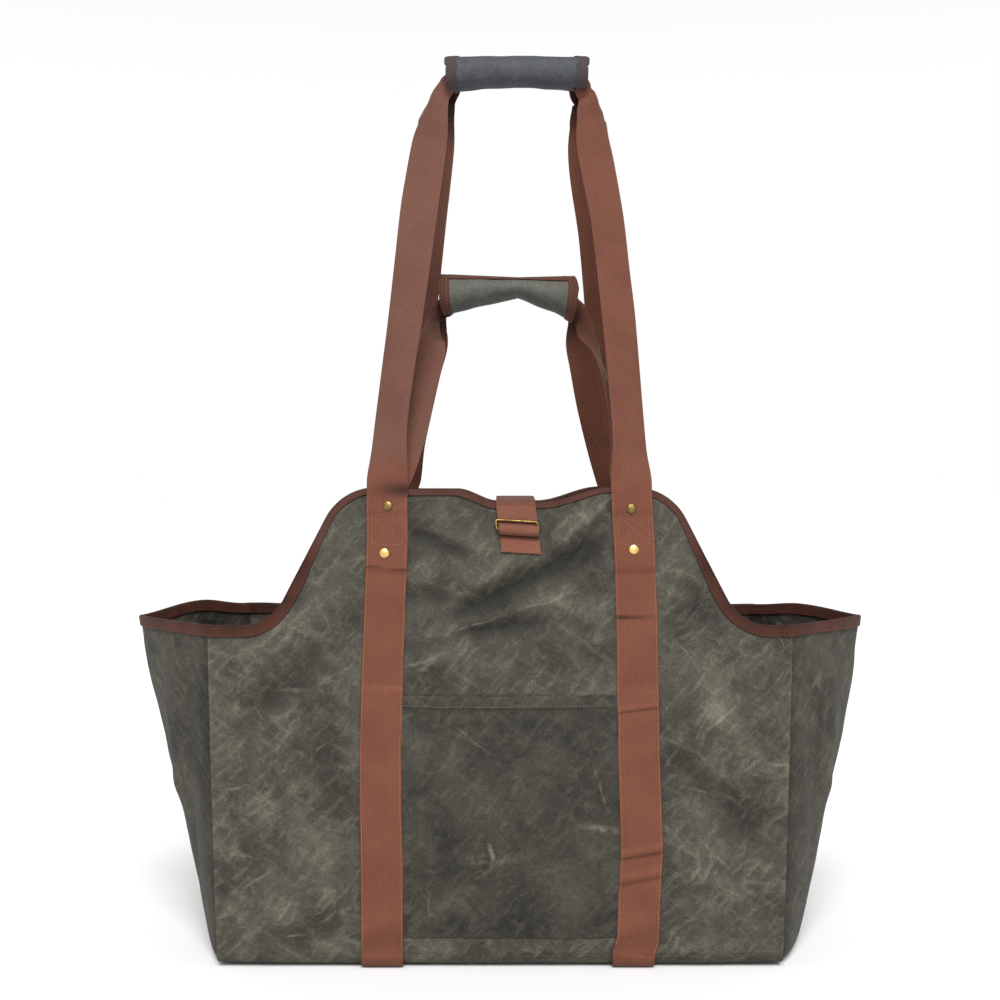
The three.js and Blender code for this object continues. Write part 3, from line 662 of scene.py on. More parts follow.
def through(rows, count):
    """Places along a smooth curve through rows of numbers."""
    rows = np.asarray(rows, float)
    padded = np.vstack([2 * rows[0] - rows[1], rows, 2 * rows[-1] - rows[-2]])
    t = np.linspace(0, len(rows) - 1, count)
    k = np.minimum(t.astype(int), len(rows) - 2)
    f = (t - k)[:, None]
    a, b, c, d = padded[k], padded[k + 1], padded[k + 2], padded[k + 3]
    return 0.5 * (2 * b + (c - a) * f + (2 * a - 5 * b + 4 * c - d) * f**2 + (3 * b - a - 3 * c + d) * f**3)


# Shape of the bag

def closure_share(x, reach):
    return 1 - smoothstep(np.abs(x - CLOSURE_X), CLOSURE_FLAT, reach)


def rim_height(x, face):
    x = np.asarray(x, float)
    reach = np.abs(x - RIM_CENTRE)
    dip_reach = np.where(x < CLOSURE_X, DIP_REACH["left"], DIP_REACH["right"])
    left_share = smoothstep(-x, *LEFT_DROP_START) * (1 - smoothstep(-x, *LEFT_DROP_END))
    flat = TOP_RIM - RIM_DIP * closure_share(x, dip_reach) - LEFT_DROP * left_share
    crown_side = np.clip(reach - CROWN_START, 0, CROWN_RADIUS)
    crown = TOP_RIM - CROWN_RADIUS + np.sqrt(CROWN_RADIUS**2 - crown_side**2)
    slope = SLOPE_TOP - (reach - SLOPE_START) * math.tan(SHOULDER_SLOPE)
    to_end = np.clip(HOLLOW_END - reach, 0, HOLLOW_RADIUS)
    hollow = LOW_RIM + HOLLOW_RADIUS - np.sqrt(HOLLOW_RADIUS**2 - to_end**2)
    cases = [reach <= CROWN_START, reach <= SLOPE_START, reach <= SLOPE_END]
    height = np.select(cases, [flat, crown, slope], hollow)
    rise = np.where(x < 0, BACK_RISE["left"], BACK_RISE["right"]) if face > 0 else 0
    return height + rise * SEAM_RISE * smoothstep(reach, SLOPE_END - 10, RIM_HALF_LENGTH - 8)


def seam_x(z):
    return lerp(BASE_HALF_LENGTH, RIM_HALF_LENGTH, np.minimum(z / LOW_RIM, 1))


def half_depth(x, z):
    """Half the depth between the panels, before their folds."""
    middle = BASE_HALF_DEPTH - (BASE_HALF_DEPTH - TOP_HALF_DEPTH) * (z / TOP_RIM) ** MIDDLE_LEAN
    seam = BASE_HALF_DEPTH - (BASE_HALF_DEPTH - RIM_HALF_DEPTH) * (z / LOW_RIM) ** SEAM_LEAN
    pinch = PINCH * closure_share(x, PINCH_REACH) * smoothstep(z, PINCH_FOOT, TOP_RIM)
    return lerp(middle, seam, (x / RIM_HALF_LENGTH) ** 2) - pinch


def loose_share(x, z):
    """1 where a panel hangs free, falling to 0 at its seams and under the closure's sewn webbing."""
    from_seam = smoothstep(seam_x(z) - np.abs(x), 0, SEAM_HOLD)
    from_foot = smoothstep(z, PANEL_FOOT, PANEL_FOOT + FOOT_HOLD)
    sewn = 1 - smoothstep(np.abs(x - CLOSURE_X - 1), *PATCH_HOLD)
    sewn = sewn * smoothstep(z, PATCH_FOOT - 14, PATCH_FOOT - 2)
    return from_seam * from_foot * (1 - sewn)


def panel_folds(x, z, face):
    return loose_share(x, z) * folds(x, z, FRONT_FOLDS if face < 0 else BACK_FOLDS)


def panel_relief(x, z, face):
    """How far a panel's folds and slack stand out, and how it rolls in at its seams."""
    to_seam = seam_x(z) - np.abs(x)
    seed = 5 + 2 * face
    slack = 1.4 * bumps(x + 0.4 * z, z - 0.3 * x, 62, seed)
    slack = slack + 0.6 * bumps(x - 0.3 * z, z + 0.4 * x, 24, seed + 1)
    roll = SEAM_ROLL * (1 - smoothstep(to_seam, 0, SEAM_ROLL_REACH))
    return panel_folds(x, z, face) + loose_share(x, z) * slack - roll


def panel_place(x, z, face, standoff=0.0):
    """Points standing off from the middle of a panel's canvas, and its normals there."""
    x, z = np.broadcast_arrays(np.asarray(x, float), np.asarray(z, float))

    def depth(a, b):
        return half_depth(a, b) + panel_relief(a, b, face)

    step = 0.5
    over_x = (depth(x + step, z) - depth(x - step, z)) / (2 * step)
    over_z = (depth(x, z + step) - depth(x, z - step)) / (2 * step)
    normals = unit(xyz(-over_x, face, -over_z))
    points = xyz(x, face * depth(x, z), z)
    return points + normals * np.asarray(standoff)[..., None], normals


def fold_place(x, turn, face, standoff=0.0):
    """Points on the fold between base and panel; turn runs from 0 at the base to a quarter turn."""
    radius = FOLD_RADIUS + standoff
    y = half_depth(x, PANEL_FOOT) - FOLD_RADIUS + radius * np.sin(turn)
    points = xyz(x, face * y, PANEL_FOOT - radius * np.cos(turn))
    return points, xyz(0 * points[..., 0], face * np.sin(turn), -np.cos(turn))


def section_half_depth(z):
    """The bag's half depth at its seams, round the fold as well."""
    turn = np.arccos(np.clip((PANEL_FOOT - z) / FOLD_RADIUS, -1, 1))
    round_fold = half_depth(BASE_HALF_LENGTH, PANEL_FOOT) - FOLD_RADIUS + FOLD_RADIUS * np.sin(turn)
    return np.where(z >= PANEL_FOOT, half_depth(seam_x(z), np.maximum(z, 0)), round_fold)


def end_reach(across, z, side):
    """How far a closed end reaches out, before its folds."""
    share = np.maximum(z, 0) / LOW_RIM
    spread = np.interp(z, *END_SPREAD[side_name(side)])
    bulge = lerp(BASE_BULGE, RIM_BULGE, share**BULGE_GROWTH) + spread
    sharpness = lerp(ROUND_FOLD, SHARP_FOLD, share)
    return seam_x(z) + bulge * (1 - np.minimum(np.abs(across), 1) ** sharpness)


def end_place(across, z, side):
    """Points on a closed end. across runs from -1 at the front seam to 1 at the back one."""
    across, z = np.broadcast_arrays(np.asarray(across, float), np.asarray(z, float))
    to_seam = 1 - np.abs(across)
    y = across * (section_half_depth(z) - END_TUCK)
    inside = smoothstep(to_seam, 0, 0.3) * smoothstep(z, BASE_LEVEL, 60) * smoothstep(LOW_RIM - z, 0, 40)
    wrinkles = folds(y, z, END_FOLDS) + 1.2 * bumps(y, z, 40, 11 + side) + 0.5 * bumps(y, z, 17, 21 + side)
    groove = SEAM_GROOVE * np.exp(-to_seam / GROOVE_REACH)
    swell = smoothstep(across, 0, BACK_RISE_PEAK) * lerp(1, SEAM_RISE, smoothstep(across, BACK_RISE_PEAK, 1))
    rise = BACK_RISE[side_name(side)] * swell
    lifted = z + rise * smoothstep(z, LOW_RIM / 2, LOW_RIM)
    points = xyz(side * (end_reach(across, z, side) + inside * wrinkles - groove), y, lifted)
    return settle(points)


def settle(points):
    """The bag's corners stand a little clear of the floor."""
    x, z = points[..., 0], points[..., 2]
    corner = smoothstep(np.abs(x), CORNER_START, BASE_HALF_LENGTH)
    corner = corner * (1 - smoothstep(z, BASE_LEVEL, PANEL_FOOT))
    lifted = points.copy()
    lifted[..., 2] += CORNER_LIFT * corner
    return lifted


def grid_normals(points):
    down = np.gradient(points, axis=0)
    over = np.gradient(points, axis=1)
    return unit(np.cross(over, down))


# Meshes

def quads(index):
    corners = [index[:-1, :-1], index[:-1, 1:], index[1:, 1:], index[1:, :-1]]
    return np.stack(corners, axis=-1).reshape(-1, 4)


def add_object(name, data):
    made = bpy.data.objects.new(name, data)
    bpy.context.scene.collection.objects.link(made)
    return made


def make_piece(name, points, faces, uv, material, nodes=(), marks=None, sharp=50):
    mesh = bpy.data.meshes.new(name)
    mesh.from_pydata((np.asarray(points) * MM).tolist(), [], [list(map(int, face)) for face in faces])
    corners = np.empty(len(mesh.loops), dtype=np.int32)
    mesh.loops.foreach_get("vertex_index", corners)
    layer = mesh.uv_layers.new(name="flat")
    layer.data.foreach_set("uv", (np.asarray(uv) * MM)[corners].astype(np.float32).ravel())
    for mark, values in (marks or {}).items():
        attribute = mesh.attributes.new(name=mark, type="FLOAT", domain="POINT")
        attribute.data.foreach_set("value", np.asarray(values, dtype=np.float32).ravel())
    mesh.shade_smooth()
    mesh.set_sharp_from_angle(angle=math.radians(sharp))
    mesh.materials.append(MATERIALS[material])
    piece = add_object(name, mesh)
    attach(piece, BODY)
    if nodes:
        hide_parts(*nodes)
    return piece


def volume(points, faces):
    a, b, c, d = (points[faces[:, k]] for k in range(4))
    return np.sum(a * np.cross(b, c)) + np.sum(a * np.cross(c, d))


def shell(middle, half):
    """A closed sheet on a grid: half reaches from the middle of the cloth to its outer face."""
    points = np.concatenate([(middle + half).reshape(-1, 3), (middle - half).reshape(-1, 3)])
    outer, inner = np.arange(len(points)).reshape(2, *middle.shape[:2])
    faces = np.concatenate([
        quads(outer),
        quads(inner)[:, ::-1],
        quads(np.stack([inner[0], outer[0]])),
        quads(np.stack([outer[-1], inner[-1]])),
        quads(np.stack([outer[:, 0], inner[:, 0]])),
        quads(np.stack([inner[:, -1], outer[:, -1]])),
    ])
    return points, faces if volume(points, faces) > 0 else faces[:, ::-1]


def cloth(name, middle, normals, thickness, uv, material, nodes=(), marks=None):
    points, faces = shell(middle, normals * np.asarray(thickness)[..., None] / 2)
    flat = np.asarray(uv).reshape(-1, 2)
    both = {mark: np.tile(np.asarray(values).ravel(), 2) for mark, values in (marks or {}).items()}
    return make_piece(name, points, faces, np.concatenate([flat, flat]), material, nodes, both)


def loft(name, rings, material, nodes=(), uv=None, marks=None):
    """A surface closed both round each ring and from the last ring to the first."""
    count, sides = rings.shape[:2]
    index = np.arange(count * sides).reshape(count, sides)
    faces = quads(np.pad(index, ((0, 1), (0, 1)), mode="wrap"))
    points = rings.reshape(-1, 3)
    if volume(points, faces) < 0:
        faces = faces[:, ::-1]
    if uv is None:
        uv = np.stack(np.meshgrid(np.arange(sides), np.arange(count)), axis=-1)
    flat = np.asarray(uv, float).reshape(-1, 2)
    return make_piece(name, points, faces, flat, material, nodes, marks)


# Materials

def fill(tree, made, inputs):
    """Links or sets a node's inputs."""
    for key, value in inputs.items():
        if isinstance(value, bpy.types.NodeSocket):
            tree.links.new(value, made.inputs[key])
        else:
            made.inputs[key].default_value = value


def node(tree, kind, inputs=None, **settings):
    made = tree.nodes.new(kind)
    for name, value in settings.items():
        setattr(made, name, value)
    fill(tree, made, inputs or {})
    return made


def new_material(name):
    material = bpy.data.materials.new(name)
    material.use_nodes = True
    tree = material.node_tree
    return material, tree, tree.nodes["Principled BSDF"]


def noise_value(tree, place, scale, detail=4.0, roughness=0.55, distortion=0.0):
    made = node(tree, "ShaderNodeTexNoise", {
        "Vector": place, "Scale": scale, "Detail": detail, "Roughness": roughness, "Distortion": distortion,
    })
    return made.outputs["Fac"]


def ranged(tree, value, low, high, to_low=0.0, to_high=1.0):
    made = node(tree, "ShaderNodeMapRange", {
        "Value": value, "From Min": low, "From Max": high, "To Min": to_low, "To Max": to_high,
    }, interpolation_type="SMOOTHSTEP")
    return made.outputs["Result"]


def maths(tree, operation, a, b=0.0, c=0.0):
    return node(tree, "ShaderNodeMath", {0: a, 1: b, 2: c}, operation=operation).outputs[0]


def mixed(tree, share, a, b):
    made = node(tree, "ShaderNodeMix", {0: share, 6: a, 7: b}, data_type="RGBA")
    return made.outputs[2]


def shaded(tree, tint, shade):
    """A colour made darker or paler."""
    grey = node(tree, "ShaderNodeCombineColor", {0: shade, 1: shade, 2: shade}).outputs[0]
    made = node(tree, "ShaderNodeMix", {0: 1.0, 6: tint, 7: grey}, data_type="RGBA", blend_type="MULTIPLY")
    return made.outputs[2]


def mark_value(tree, name):
    return node(tree, "ShaderNodeAttribute", attribute_name=name).outputs["Fac"]


def bumped(tree, height, strength, distance, **more):
    inputs = {"Height": height, "Strength": strength, "Distance": distance, **more}
    return node(tree, "ShaderNodeBump", inputs).outputs[0]


def flat_place(tree):
    return node(tree, "ShaderNodeUVMap", uv_map="flat").outputs["UV"]


def stretched(tree, place, angle, length):
    """A place whose patterns come out drawn out, leaning left by an angle from upright."""
    made = node(tree, "ShaderNodeMapping", {
        "Vector": place, "Rotation": (0, 0, math.radians(angle)), "Scale": (1, length, 1),
    }, vector_type="TEXTURE")
    return made.outputs[0]


def colour(values):
    """A linear colour from 0 to 255 sRGB values."""
    shares = np.array(values) / 255
    linear = np.where(shares <= 0.04045, shares / 12.92, ((shares + 0.055) / 1.055) ** 2.4)
    return (*linear.tolist(), 1.0)


def two_tone(tree, share, dark, pale):
    return mixed(tree, share, colour(dark), colour(pale))


def product(tree, *values):
    total = values[0]
    for value in values[1:]:
        total = maths(tree, "MULTIPLY", total, value)
    return total


def toned(tree):
    return maths(tree, "MULTIPLY_ADD", mark_value(tree, "tone"), 0.5, 1.0)


def weave_waves(tree, pitch_u, pitch_v):
    """Waves across and along the cloth in its flat coordinates, one to a thread."""
    parts = node(tree, "ShaderNodeSeparateXYZ", {0: flat_place(tree)})
    over = maths(tree, "SINE", maths(tree, "MULTIPLY", parts.outputs[0], 2 * math.pi / (pitch_u * MM)))
    along = maths(tree, "SINE", maths(tree, "MULTIPLY", parts.outputs[1], 2 * math.pi / (pitch_v * MM)))
    return over, along


def crumples(tree, place, scale):
    """Soft broken ridges between the facets of crumpled cloth."""
    cells = node(tree, "ShaderNodeTexVoronoi", {"Vector": place, "Scale": scale}, feature="DISTANCE_TO_EDGE")
    distance = cells.outputs["Distance"]
    crest = ranged(tree, distance, 0.0, 0.09, 1.0, 0.0)
    ridge = maths(tree, "MULTIPLY_ADD", ranged(tree, distance, 0.0, 0.34, 1.0, 0.0), 0.5, crest)
    broken = ranged(tree, noise_value(tree, place, scale * 0.9, 3.0), 0.42, 0.64)
    return maths(tree, "MULTIPLY", ridge, broken)


def canvas_material(name, dark, pale, line, worn):
    material, tree, shader = new_material(name)
    place = flat_place(tree)
    bend = node(tree, "ShaderNodeTexNoise", {"Vector": place, "Scale": 26.0, "Detail": 5.0}).outputs["Color"]
    bent = node(tree, "ShaderNodeVectorMath", {0: bend, 1: CANVAS_WARP}, operation="MULTIPLY").outputs[0]
    warped = node(tree, "ShaderNodeVectorMath", {0: place, 1: bent}, operation="ADD").outputs[0]

    clouds = ranged(tree, noise_value(tree, warped, 17.0, 7.0, 0.68), 0.35, 0.65)
    rising = ranged(tree, noise_value(tree, stretched(tree, warped, -42, 4.6), 150.0, 5.0, 0.62), 0.48, 0.67)
    falling = ranged(tree, noise_value(tree, stretched(tree, warped, 58, 4.0), 120.0, 5.0, 0.62), 0.5, 0.7)
    blotches = ranged(tree, noise_value(tree, warped, 34.0, 4.0, 0.6), 0.52, 0.64)
    share = maths(tree, "MULTIPLY", clouds, 0.48)
    layers = [(rising, 0.46), (falling, 0.32), (blotches, -0.22)]
    for scale, weight in ((14.0, 0.18), (31.0, 0.2), (64.0, 0.2)):
        layers.append((crumples(tree, warped, scale), weight))
    for layer, weight in layers:
        share = maths(tree, "MULTIPLY_ADD", layer, weight * worn, share)
    off = maths(tree, "ABSOLUTE", mark_value(tree, "crease_off"))
    broken = ranged(tree, noise_value(tree, place, 130.0, 3.0), 0.3, 0.62)
    lines = product(tree, ranged(tree, off, 0.0, 1.5, 1.0, 0.0), mark_value(tree, "crease_shade"), broken)

    waxed = two_tone(tree, share, dark, pale)
    creased = mixed(tree, maths(tree, "MULTIPLY", lines, 0.62), waxed, colour(line))
    fleck = ranged(tree, noise_value(tree, place, 270.0, 3.0, 0.7), 0.3, 0.7, 0.86, 1.14)
    grain = ranged(tree, noise_value(tree, place, 780.0, 3.0, 0.85), 0.25, 0.75, 0.6, 1.4)
    shade = product(tree, toned(tree), grain, fleck)

    over, along = weave_waves(tree, CANVAS_PITCH, CANVAS_PITCH)
    fine = bumped(tree, maths(tree, "MULTIPLY", over, along), 0.3, 0.0002)
    raised = maths(tree, "MULTIPLY_ADD", lines, 0.3, share)
    fill(tree, shader, {
        "Base Color": shaded(tree, creased, shade),
        "Roughness": ranged(tree, share, 0.0, 1.0, 0.62, 0.8),
        "Specular IOR Level": 0.22,
        "Normal": bumped(tree, raised, 0.5, 0.002, Normal=fine),
    })
    return material


def webbing_material(name, dark, pale, rib_pitch, cross_pitch):
    material, tree, shader = new_material(name)
    place = flat_place(tree)
    over, along = weave_waves(tree, rib_pitch, cross_pitch)
    ribs = ranged(tree, over, -1.0, 0.6, 0.6, 1.0)
    crossing = ranged(tree, along, -1.0, 0.6, 0.72, 1.0)
    worn = ranged(tree, noise_value(tree, place, 26.0, 4.0), 0.3, 0.7, 0.72, 1.0)
    speck = ranged(tree, noise_value(tree, place, 700.0, 3.0, 0.75), 0.25, 0.75, 0.55, 1.0)
    share = product(tree, ribs, crossing, worn, speck)
    # A cool tint, painted shade on the closure's bend and painted light on the free straps.
    grey_tinted = node(tree, "ShaderNodeMix", {
        0: mark_value(tree, "grey_tint"), 6: two_tone(tree, share, dark, pale), 7: GREY_TINT_COLOUR,
    }, data_type="RGBA", blend_type="MULTIPLY").outputs[2]
    threads = maths(tree, "MULTIPLY_ADD", along, 0.35, over)
    fill(tree, shader, {
        "Base Color": shaded(tree, grey_tinted, toned(tree)),
        "Roughness": 0.7,
        "Specular IOR Level": 0.15,
        "Sheen Weight": 0.03,
        "Normal": bumped(tree, threads, 0.5, 0.0003),
    })
    return material


def brass_material(name, bright, tarnished, rough):
    material, tree, shader = new_material(name)
    place = node(tree, "ShaderNodeTexCoord").outputs["Object"]
    spots = ranged(tree, noise_value(tree, place, 240.0, 4.0, 0.6), 0.35, 0.7)
    scratches = noise_value(tree, place, 1500.0, 2.0)
    fill(tree, shader, {
        "Base Color": two_tone(tree, spots, bright, tarnished),
        "Roughness": ranged(tree, spots, 0.0, 1.0, rough, rough + 0.14),
        "Metallic": 1.0,
        "Normal": bumped(tree, scratches, 0.06, 0.0002),
    })
    return material


def thread_material(name, dark, pale):
    material, tree, shader = new_material(name)
    place = node(tree, "ShaderNodeTexCoord").outputs["Object"]
    fibres = noise_value(tree, place, 900.0, 2.0)
    fill(tree, shader, {"Base Color": two_tone(tree, fibres, dark, pale), "Roughness": 0.6})
    return material


MATERIALS = {}


def add_materials(make, rows):
    for name, (slot, *look) in rows.items():
        MATERIALS[name] = make(name, *look)


# Canvas pieces

def panel_piece(face, label):
    across, up = PANEL_GRID[label]
    columns = np.linspace(-RIM_HALF_LENGTH, RIM_HALF_LENGTH, across + 1)
    rise = np.linspace(0, 1, up + 1)[:, None]
    z = lerp(PANEL_FOOT, rim_height(columns, face)[None], rise)
    x = columns[None] * seam_x(z) / RIM_HALF_LENGTH
    middle, normals = panel_place(x, z, face)
    uv = flat_map(x + BACK_SHIFT * (face > 0), z)
    marks = crease_marks(x, z, FRONT_CREASES if face < 0 else [])
    # Tone: the folds' valleys painted darker and their ridges paler, painted shade and light with a little
    # wear, a pale line beside the seams, and painted shade over the folded upper middle.
    edge = SEAM_TONE * np.exp(-(((seam_x(z) - np.abs(x)) / SEAM_TONE_REACH) ** 2))
    in_middle = smoothstep(z, *MIDDLE_TONE_RISE) * (1 - smoothstep(np.abs(x - MIDDLE_X), *MIDDLE_TONE_REACH))
    marks["tone"] = np.clip(panel_folds(x, z, face) / 5, -1.2, 1) + edge + MIDDLE_TONE * in_middle
    nodes = [f"{label}_panel"]
    piece = cloth(f"panel_{label}", middle, normals, CANVAS, uv, "waxed_canvas", nodes, marks)


def base_fold_row(along, turn, face):
    return fold_place(along * seam_x(PANEL_FOOT - FOLD_RADIUS * math.cos(turn)), turn, face)


def base_piece():
    flat = section_half_depth(np.float64(BASE_LEVEL))
    along = np.linspace(-1, 1, BASE_COLUMNS + 1)
    turns = np.linspace(0, math.pi / 2, FOLD_ROWS)[1:]
    rows = [base_fold_row(along, turn, -1) for turn in turns[::-1]]
    for y in np.linspace(-flat, flat, BASE_ROWS + 1):
        left, right = (end_reach(y / (flat - END_TUCK), BASE_LEVEL, side) - 0.6 for side in (-1, 1))
        x = lerp(-left, right, (along + 1) / 2)
        rows.append((xyz(x, y, BASE_LEVEL), xyz(0 * x, 0, -1)))
    rows += [base_fold_row(along, turn, 1) for turn in turns]
    middle, normals = (np.array(values) for values in zip(*rows))
    round_fold = 1 - np.abs(normals[..., 2])
    middle += normals * (round_fold * 0.9 * bumps(middle[..., 0], middle[..., 1], 30, 81))[..., None]
    below = PANEL_FOOT - lengths(middle[:, BASE_COLUMNS // 2])
    uv = flat_map(middle[..., 0], below[:, None])
    piece = cloth("base", settle(middle), normals, CANVAS, uv, "waxed_canvas", ["base_panel"])


def end_piece(side, label):
    spread = np.linspace(-1, 1, END_COLUMNS + 1)
    across = np.sign(spread) * (1 - (1 - np.abs(spread)) ** 1.3)[None]
    z = np.linspace(BASE_LEVEL - 0.5, LOW_RIM, END_ROWS + 1)[:, None]
    middle = end_place(across, z, side)
    normals = grid_normals(middle)
    normals = normals * np.sign(side * normals[..., :1])
    reach = lengths(middle[END_ROWS // 2])
    uv = flat_map(reach[None] + END_SHIFT[label], z)
    # Tone: painted shade over the end and painted shadow beside its seams, with some wear there, plus a
    # random mottle.
    to_seam = 1 - np.abs(across)
    mottle = END_MOTTLE * bumps(middle[..., 1], z * 0.3, 24, 91 + side)
    marks = {"tone": END_TONE + END_SEAM_TONE * np.exp(-to_seam / 0.09) + mottle}
    nodes = [f"gusset_{label}"]
    piece = cloth(f"end_{label}", middle, normals, CANVAS, uv, "waxed_canvas", nodes, marks)


def strap_x(side, z):
    base, rim = STRAP_X[side]
    return lerp(base, rim, np.asarray(z, float) / TOP_RIM) + np.interp(z, *STRAP_BOW[side])


def pocket_top(x):
    sag = POCKET_SAG * np.sin(np.pi * (x - STRAP_X["left"][0]) / POCKET_SPAN)
    return POCKET_TOP - sag + 0.5 * bumps(x, 0 * x, 30, 33)


def pocket_standoff(x, z):
    """The pocket hangs a little free of the panel between its sewn edges, and its hem is double."""
    share = (x - strap_x("left", z)) / (strap_x("right", z) - strap_x("left", z))
    free = np.sin(np.pi * np.clip(share, 0, 1)) ** 0.6
    slack = 0.9 + 0.7 * bumps(x, z, 46, 31) + 0.3 * bumps(x, z, 19, 32)
    hem = HEM_STEP * smoothstep(z, pocket_top(x) - HEM_DEPTH - 1, pocket_top(x) - HEM_DEPTH + 0.5)
    hang = free * (smoothstep(z, POCKET_FOOT, POCKET_FOOT + 40) * slack + hem)
    return (CANVAS + POCKET_CANVAS) / 2 + GAP + hang


def pocket_piece():
    share = np.linspace(0, 1, POCKET_COLUMNS + 1)[None]
    rise = np.linspace(0, 1, POCKET_ROWS + 1)[:, None]
    guess = lerp(POCKET_FOOT, POCKET_TOP, rise)
    x = lerp(strap_x("left", guess), strap_x("right", guess), share)
    z = lerp(POCKET_FOOT, pocket_top(x), rise)
    middle, normals = panel_place(x, z, -1, pocket_standoff(x, z))
    uv = flat_map(x + POCKET_SHIFT, z)
    marks = crease_marks(x, z, POCKET_CREASES)
    down = pocket_top(x) - z
    hem = HEM_TONE * (1 - smoothstep(down, HEM_DEPTH - 0.5, HEM_DEPTH + 0.5))
    # Painted shadow along the hem's lower edge.
    hem_line = HEM_LINE_TONE * np.exp(-((down - HEM_DEPTH) ** 2))
    marks["tone"] = POCKET_TONE + POCKET_EDGE_TONE * np.exp(-((down / 1.6) ** 2)) + hem + hem_line
    piece = cloth("pocket_cloth", middle, normals, POCKET_CANVAS, uv, "pocket_canvas", ["pocket"], marks)


# Tape folded over an edge

def tape_piece(label, points, normals, down, seed, low_tone):
    """Tape round an edge whose points have an outward normal and a way down into the cloth."""
    leg = (CANVAS + TAPE) / 2 + TAPE_GAP
    height = points[:, 2, None]
    reach = lerp(TAPE_LEG["low"], TAPE_LEG["crown"], smoothstep(height, LOW_RIM + 20, TOP_RIM - 10))
    depth = np.linspace(1, 0, TAPE_LEG_STEPS)
    turn = np.linspace(0, math.pi, 9)[1:-1]
    out = np.concatenate([leg + 0 * depth, leg * np.cos(turn), -leg + 0 * depth])
    share = np.concatenate([depth, 0 * turn, depth[::-1]])[None]
    over = np.concatenate([0 * depth, (GAP + TAPE / 2) * np.sin(turn), 0 * depth])[None]
    run = lengths(points)
    wave = 0.6 * bumps(run, 0 * run, 26, seed)[:, None]
    into = share * (reach + wave) - over
    middle = points[:, None] + normals[:, None] * out[None, :, None] + down[:, None] * into[..., None]
    skin = grid_normals(middle)
    skin = skin * np.sign(dot(skin[:, :1], normals[:, None]))
    girth = lengths(middle[0])
    uv = flat_map(girth[None], run[:, None])
    crown = smoothstep(height, TOP_RIM - 70, TOP_RIM - 36)
    worn = TAPE_MOTTLE * bumps(run, 0 * run, 9, seed + 7)[:, None]
    # Painted shade along the tape's folded top.
    fold = TAPE_FOLD_TONE * np.exp(-((share / 0.14) ** 2))
    tone = low_tone + CROWN_TONE * crown + worn + fold
    marks = {"tone": tone, "grey_tint": np.broadcast_to(crown, tone.shape)}
    nodes = [f"rim_binding_{label}"]
    piece = cloth(f"rim_tape_{label}", middle, skin, TAPE, uv, "rim_tape", nodes, marks)
    return middle[:, 1] + skin[:, 1] * TAPE / 2, skin[:, 1]


def panel_tape(face, label):
    columns = np.linspace(-RIM_HALF_LENGTH, RIM_HALF_LENGTH, TAPE_STATIONS["panel"])
    points, normals = panel_place(columns, rim_height(columns, face), face)
    ways = unit(np.gradient(points, axis=0))
    down = unit(np.cross(ways, normals)) * -face
    return tape_piece(label, points, normals, down, 41 + face, RIM_TONE["panel"])


def end_tape(side, label):
    spread = np.linspace(-1, 1, TAPE_STATIONS["end"])
    across = np.sign(spread) * np.abs(spread) ** 1.25
    points = end_place(across, LOW_RIM, side)
    down = unit(end_place(across, LOW_RIM - TAPE_LEG["low"], side) - points)
    ways = unit(np.gradient(points, axis=0))
    normals = unit(np.cross(ways, down))
    normals = normals * np.sign(side * normals[:, :1])
    return tape_piece(label, points, normals, down, 51 + side, RIM_TONE["end"])


# Straps

def short_standoff(z):
    over_tape = smoothstep(z, *RIM_RAMP) * (TAPE + TAPE_GAP)
    return (CANVAS + WEBBING) / 2 + GAP + over_tape


def long_standoff(z, face):
    pocket_layer = POCKET_CANVAS + GAP if face < 0 else 0
    over_pocket = (1 - smoothstep(z, POCKET_TOP, POCKET_TOP + RAMP)) * pocket_layer
    over_tail = smoothstep(z, TAIL_FOOT - RAMP, TAIL_FOOT) * (WEBBING + GAP)
    return short_standoff(z) + over_pocket + over_tail


def base_run(side, face):
    """A strap from the middle of the base to the panel's foot."""
    x = strap_x(side, PANEL_FOOT)
    standoff = (CANVAS + WEBBING) / 2 + GAP
    flat = section_half_depth(np.float64(BASE_LEVEL))
    y = np.linspace(GAP / 2, flat, 24)
    under = xyz(x, face * y, BASE_LEVEL - standoff)
    turns = np.linspace(0, math.pi / 2, 22)[1:-1]
    out = lerp(standoff, long_standoff(PANEL_FOOT, face), smoothstep(turns, math.pi / 8, math.pi / 4))
    fold, normals = fold_place(x, turns, face, out + 0.9 * np.sin(turns))
    return np.concatenate([under, fold]), np.concatenate([xyz(0 * y, 0, -1), normals])


def panel_run(side, face, foot, standoff):
    z = np.arange(foot, OVER_RIM + 0.1, STRAP_STEP)
    return panel_place(strap_x(side, z), z, face, standoff(z))


def rise_rows(rows, side, face, steps=(0, 0)):
    outward = -1 if side == "left" else 1
    made = []
    for row in named(RISE_COLUMNS, rows):
        turn = math.radians(row["turn"])
        step = lerp(*steps, smoothstep(row["height"], *STEP_CHANGE))
        inward = step * smoothstep(row["height"], TOP_RIM, TOP_RIM + STEP_GROWTH) if face > 0 else 0
        point = (row["x"] - outward * inward, face * row["depth"], row["height"])
        facing = (outward * math.sin(turn), face * math.cos(turn), 0)
        made.append((*point, *facing, row["fold"]))
    return made


def inside_rows(rows, face):
    made = []
    for row in named(INSIDE_COLUMNS, rows):
        lean = math.radians(row["lean"])
        facing = np.array([math.sin(lean), 0, math.cos(lean)])
        point = np.array([row["x"], 0, row["height"]]) - facing * face * LAYER_SHIFT
        made.append((*point, *facing, row["fold"]))
    return made


